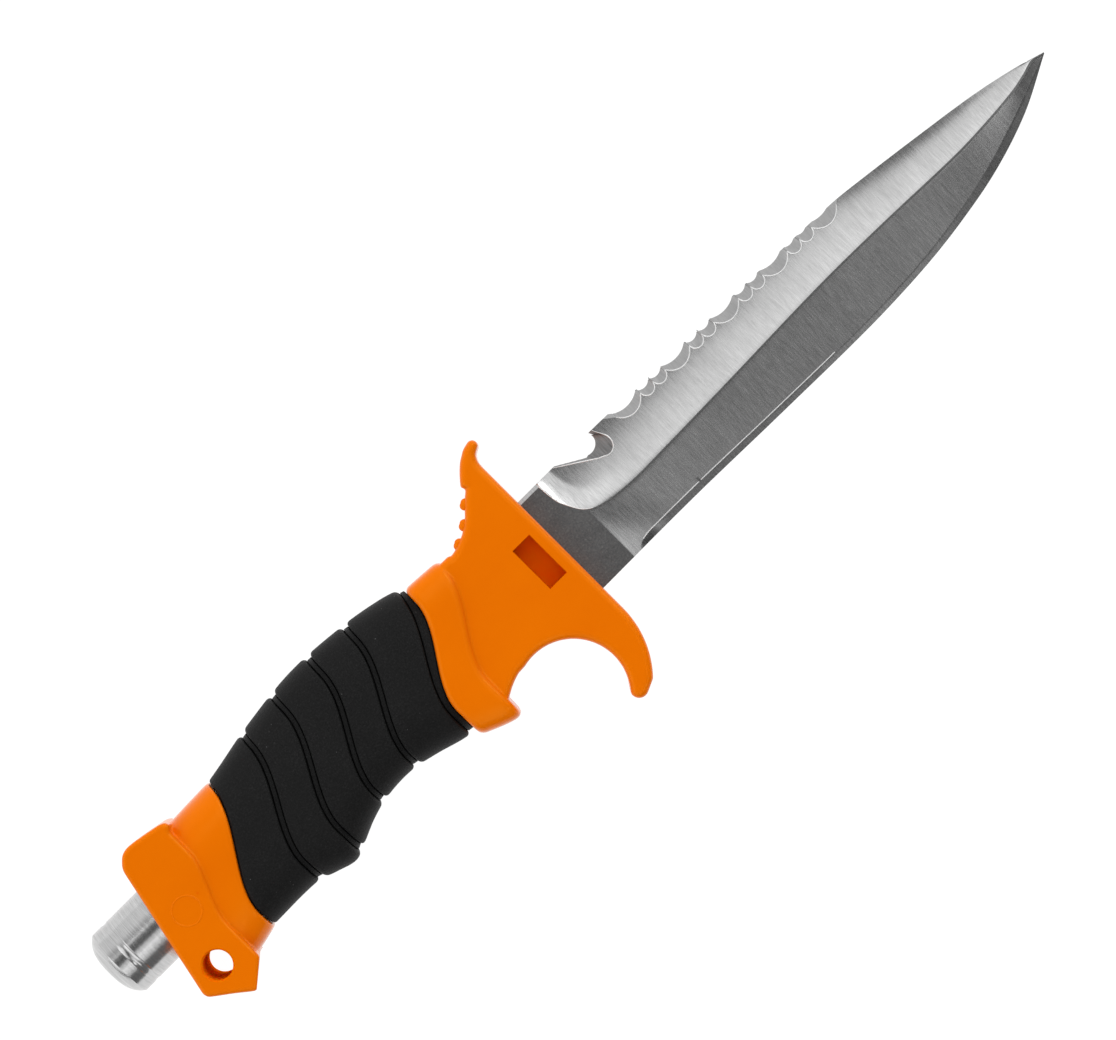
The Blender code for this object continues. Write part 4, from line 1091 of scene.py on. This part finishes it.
def pommel_profile():
    """From the centre of the striking end over the rounded corner and the neck to the O-ring's groove."""
    head, body = POMMEL_HEAD_RADIUS, POMMEL_BODY_RADIUS
    sweep = math.radians(DOME_SWEEP)
    length = (POMMEL_DOME_X - POMMEL_END_X) / (1 - math.cos(sweep))
    height = (head - POMMEL_FACE_RADIUS) / math.sin(sweep)
    corner = [(POMMEL_END_X + length * (1 - math.cos(sweep * k / 24)),
               POMMEL_FACE_RADIUS + height * math.sin(sweep * k / 24)) for k in range(1, 25)]
    front_x, rear_x, depth = POMMEL_NECK
    neck = [(rear_x + (front_x - rear_x) * t / 16, head - depth * 4 * t / 16 * (1 - t / 16))
            for t in range(17)]
    neck += [(front_x + 0.12, body + 0.05), (front_x + 0.3, body)]
    ring_floor_x = RING_X - RING_THICKNESS_RADIUS - 0.15
    wide, narrow = RING_RADIUS + 0.9, RING_RADIUS - 0.9
    face = [(POMMEL_FRONT_X - 0.5, body), (POMMEL_FRONT_X - 0.15, body - 0.1), (POMMEL_FRONT_X, body - 0.5),
            (POMMEL_FRONT_X, wide), (ring_floor_x, wide), (ring_floor_x, narrow), (POMMEL_FRONT_X, narrow),
            (POMMEL_FRONT_X, 0.0)]
    return [(POMMEL_END_X, 0.0), (POMMEL_END_X, POMMEL_FACE_RADIUS)] + corner + neck + face


def make_pommel(material):
    pommel = new_object("pommel_steel", turned("pommel_steel", pommel_profile()), material)
    cut(pommel, threaded_rod("bore", *BORE_THREAD, POMMEL_FRONT_X + 1, BORE_END_X))
    shade(pommel, 12)
    settle(pommel, "pommel", "pommel", slot="turned_steel")


def make_o_ring(material):
    profile = [(RING_X + RING_THICKNESS_RADIUS * c, RING_RADIUS + RING_THICKNESS_RADIUS * s)
               for c, s in circle(24)]
    ring = new_object("o_ring_rubber", turned("o_ring_rubber", profile, closed=True), material)
    shade(ring)
    settle(ring, "pommel_carrier", "pommel_o_ring", slot="black_rubber")


def make_washer(material):
    front, rear = WASHER_X
    inner, outer = WASHER_RADII
    profile = [(rear, inner + 0.1), (rear, outer - 0.15), (rear + 0.15, outer), (front - 0.15, outer),
               (front, outer - 0.15), (front, inner + 0.1), (front - 0.1, inner), (rear + 0.1, inner)]
    washer = new_object("washer_steel", turned("washer_steel", profile, closed=True), material)
    shade(washer)
    settle(washer, "knife", "butt_washer", slot="turned_steel")


def make_stud(material):
    """The threaded rod whose forked head takes the end of the tang."""
    stud = new_object("stud_steel", cylinder("stud_steel", STUD_HEAD_RADIUS, (STUD_HEAD_FRONT_X, 0, 0),
                                             (STUD_HEAD_REAR_X, 0, 0), 64), material)
    thread_x = POMMEL_FRONT_X + 0.4
    join(stud, cylinder("shank", STUD_RADIUS, (STUD_HEAD_REAR_X + 2, 0, 0), (thread_x, 0, 0), 64))
    join(stud, threaded_rod("thread", *STUD_THREAD, thread_x + 1, STUD_END_X))
    slot = BLADE_HALF + GAP
    cut(stud, box("fork", (TANG[0][0] - GAP, -6, -slot), (STUD_HEAD_FRONT_X + 2, 6, slot)))
    cut(stud, cylinder("pin_hole", PIN_HOLE_RADIUS, (PIN_X, 0, -6), (PIN_X, 0, 6), 32))
    shade(stud)
    settle(stud, "knife", "tang_stud", slot="turned_steel")


# ---- studio ----

def make_camera():
    camera = bpy.data.objects.new("camera", bpy.data.cameras.new("camera"))
    bpy.context.scene.collection.objects.link(camera)
    x, y = CAMERA_TARGET
    camera.location = ORIGIN + Vector((x, y, CAMERA_DISTANCE)) * MM
    camera.rotation_euler = (0, 0, math.radians(VIEW_TURN))
    camera.data.sensor_width = SENSOR_WIDTH
    camera.data.lens = SENSOR_WIDTH * CAMERA_DISTANCE / VIEW_WIDTH
    camera.data.clip_start = 0.01
    camera.data.clip_end = 20.0
    bpy.context.scene.camera = camera


def softbox(name, centre, size, radiance):
    """A rectangular light that faces the knife. Its centre is in metres."""
    light = bpy.data.lights.new(name, "AREA")
    light.shape = "RECTANGLE"
    light.size, light.size_y = size
    light.energy = math.pi * size[0] * size[1] * radiance
    obj = bpy.data.objects.new(name, light)
    bpy.context.scene.collection.objects.link(obj)
    obj.location = ORIGIN + Vector(centre)
    obj.rotation_euler = Vector(centre).to_track_quat("Z", "Y").to_euler()
    obj.visible_camera = False


def make_world():
    """A light tent, dark overhead where it opens for the camera."""
    world = bpy.data.worlds.new("light_tent")
    world.use_nodes = True
    nodes, links = world.node_tree.nodes, world.node_tree.links
    direction = nodes.new("ShaderNodeSeparateXYZ")
    links.new(nodes.new("ShaderNodeTexCoord").outputs["Generated"], direction.inputs["Vector"])
    lift = nodes.new("ShaderNodeMath")
    lift.operation = "MULTIPLY_ADD"
    lift.inputs[1].default_value = -TENT_RISE
    lift.inputs[2].default_value = TENT_RISE
    links.new(direction.outputs["Z"], lift.inputs[0])
    across = nodes.new("ShaderNodeMath")
    across.operation = "ADD"
    links.new(direction.outputs["Y"], across.inputs[0])
    links.new(lift.outputs[0], across.inputs[1])
    place = nodes.new("ShaderNodeMapRange")
    place.inputs["From Min"].default_value = -1.0
    links.new(across.outputs[0], place.inputs["Value"])
    tent = ramp(world.node_tree, place.outputs["Result"], TENT)
    links.new(tent, nodes["Background"].inputs["Color"])
    bpy.context.scene.world = world


def make_studio():
    floor = bpy.data.meshes.new("studio_floor")
    corners = [(x * FLOOR_REACH, y * FLOOR_REACH, 0) for x, y in ((-1, -1), (1, -1), (1, 1), (-1, 1))]
    floor.from_pydata(corners, [], [(0, 1, 2, 3)])
    floor_obj = bpy.data.objects.new("studio_floor", floor)
    bpy.context.scene.collection.objects.link(floor_obj)
    floor.materials.append(floor_acrylic())
    make_world()
    bpy.context.scene.view_settings.view_transform = "Standard"
    for light in SOFTBOXES:
        softbox(*light)


# ---- assembly ----

make_camera()
orange = orange_plastic("orange_plastic", 0.4)
orange_inside = orange_plastic("orange_plastic_inside", 0.0, translucency=0.6)
rubber = black_rubber()
core = core_plastic()
turned_metal = turned_steel()
# Steels with a base colour for each facet. Apart from the upper bevel, these colours are painted: darker as
# painted shade, lighter as painted reflection, brightest as painted highlights.
blade_steels = {"ricasso": ricasso_steel(),
                "upper": ground_steel("upper_bevel_steel", 0.43, 0.65, 0.16, 0.4),
                # the lower bevel in a darker copy of the steel: painted shade
                "lower": ground_steel("lower_bevel_steel", 0.3, 0.47, 0.24, 0.7),
                # the edge bevel in a darker copy of the steel: painted shade
                "edge": ground_steel("edge_bevel_steel", 0.15, 0.27, 0.24),
                # the bright steel of the beads and of the strip above the edge bevel: painted highlights
                "painted_highlight": ground_steel("painted_highlight_steel", 0.8, 0.92, 0.35, metallic=0.35),
                # the notch's and the serrations' cut walls in darker copies of the steel: painted shade
                "notch": ground_steel("notch_steel", 0.12, 0.3, 0.4, metallic=0.5),
                "serration": ground_steel("serration_steel", 0.34, 0.49, 0.42),
                # the edge bevel's belly in a lighter copy of its steel: a painted reflection
                "belly": ground_steel("belly_bevel_painted_light_steel", 0.19, 0.32, 0.24)}

make_blade(blade_steels)
make_guard(orange, orange_inside)
make_sleeve(rubber)
make_butt_cap(orange, orange_inside)
make_pommel(turned_metal)
make_o_ring(rubber)
make_washer(turned_metal)
make_stud(turned_metal)
for node, material in (("core_left", core), ("core_right", core), ("tang_seal", rubber),
                       ("stud_pin", turned_metal)):
    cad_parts[node].data.materials.clear()
    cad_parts[node].data.materials.append(material)
make_studio()
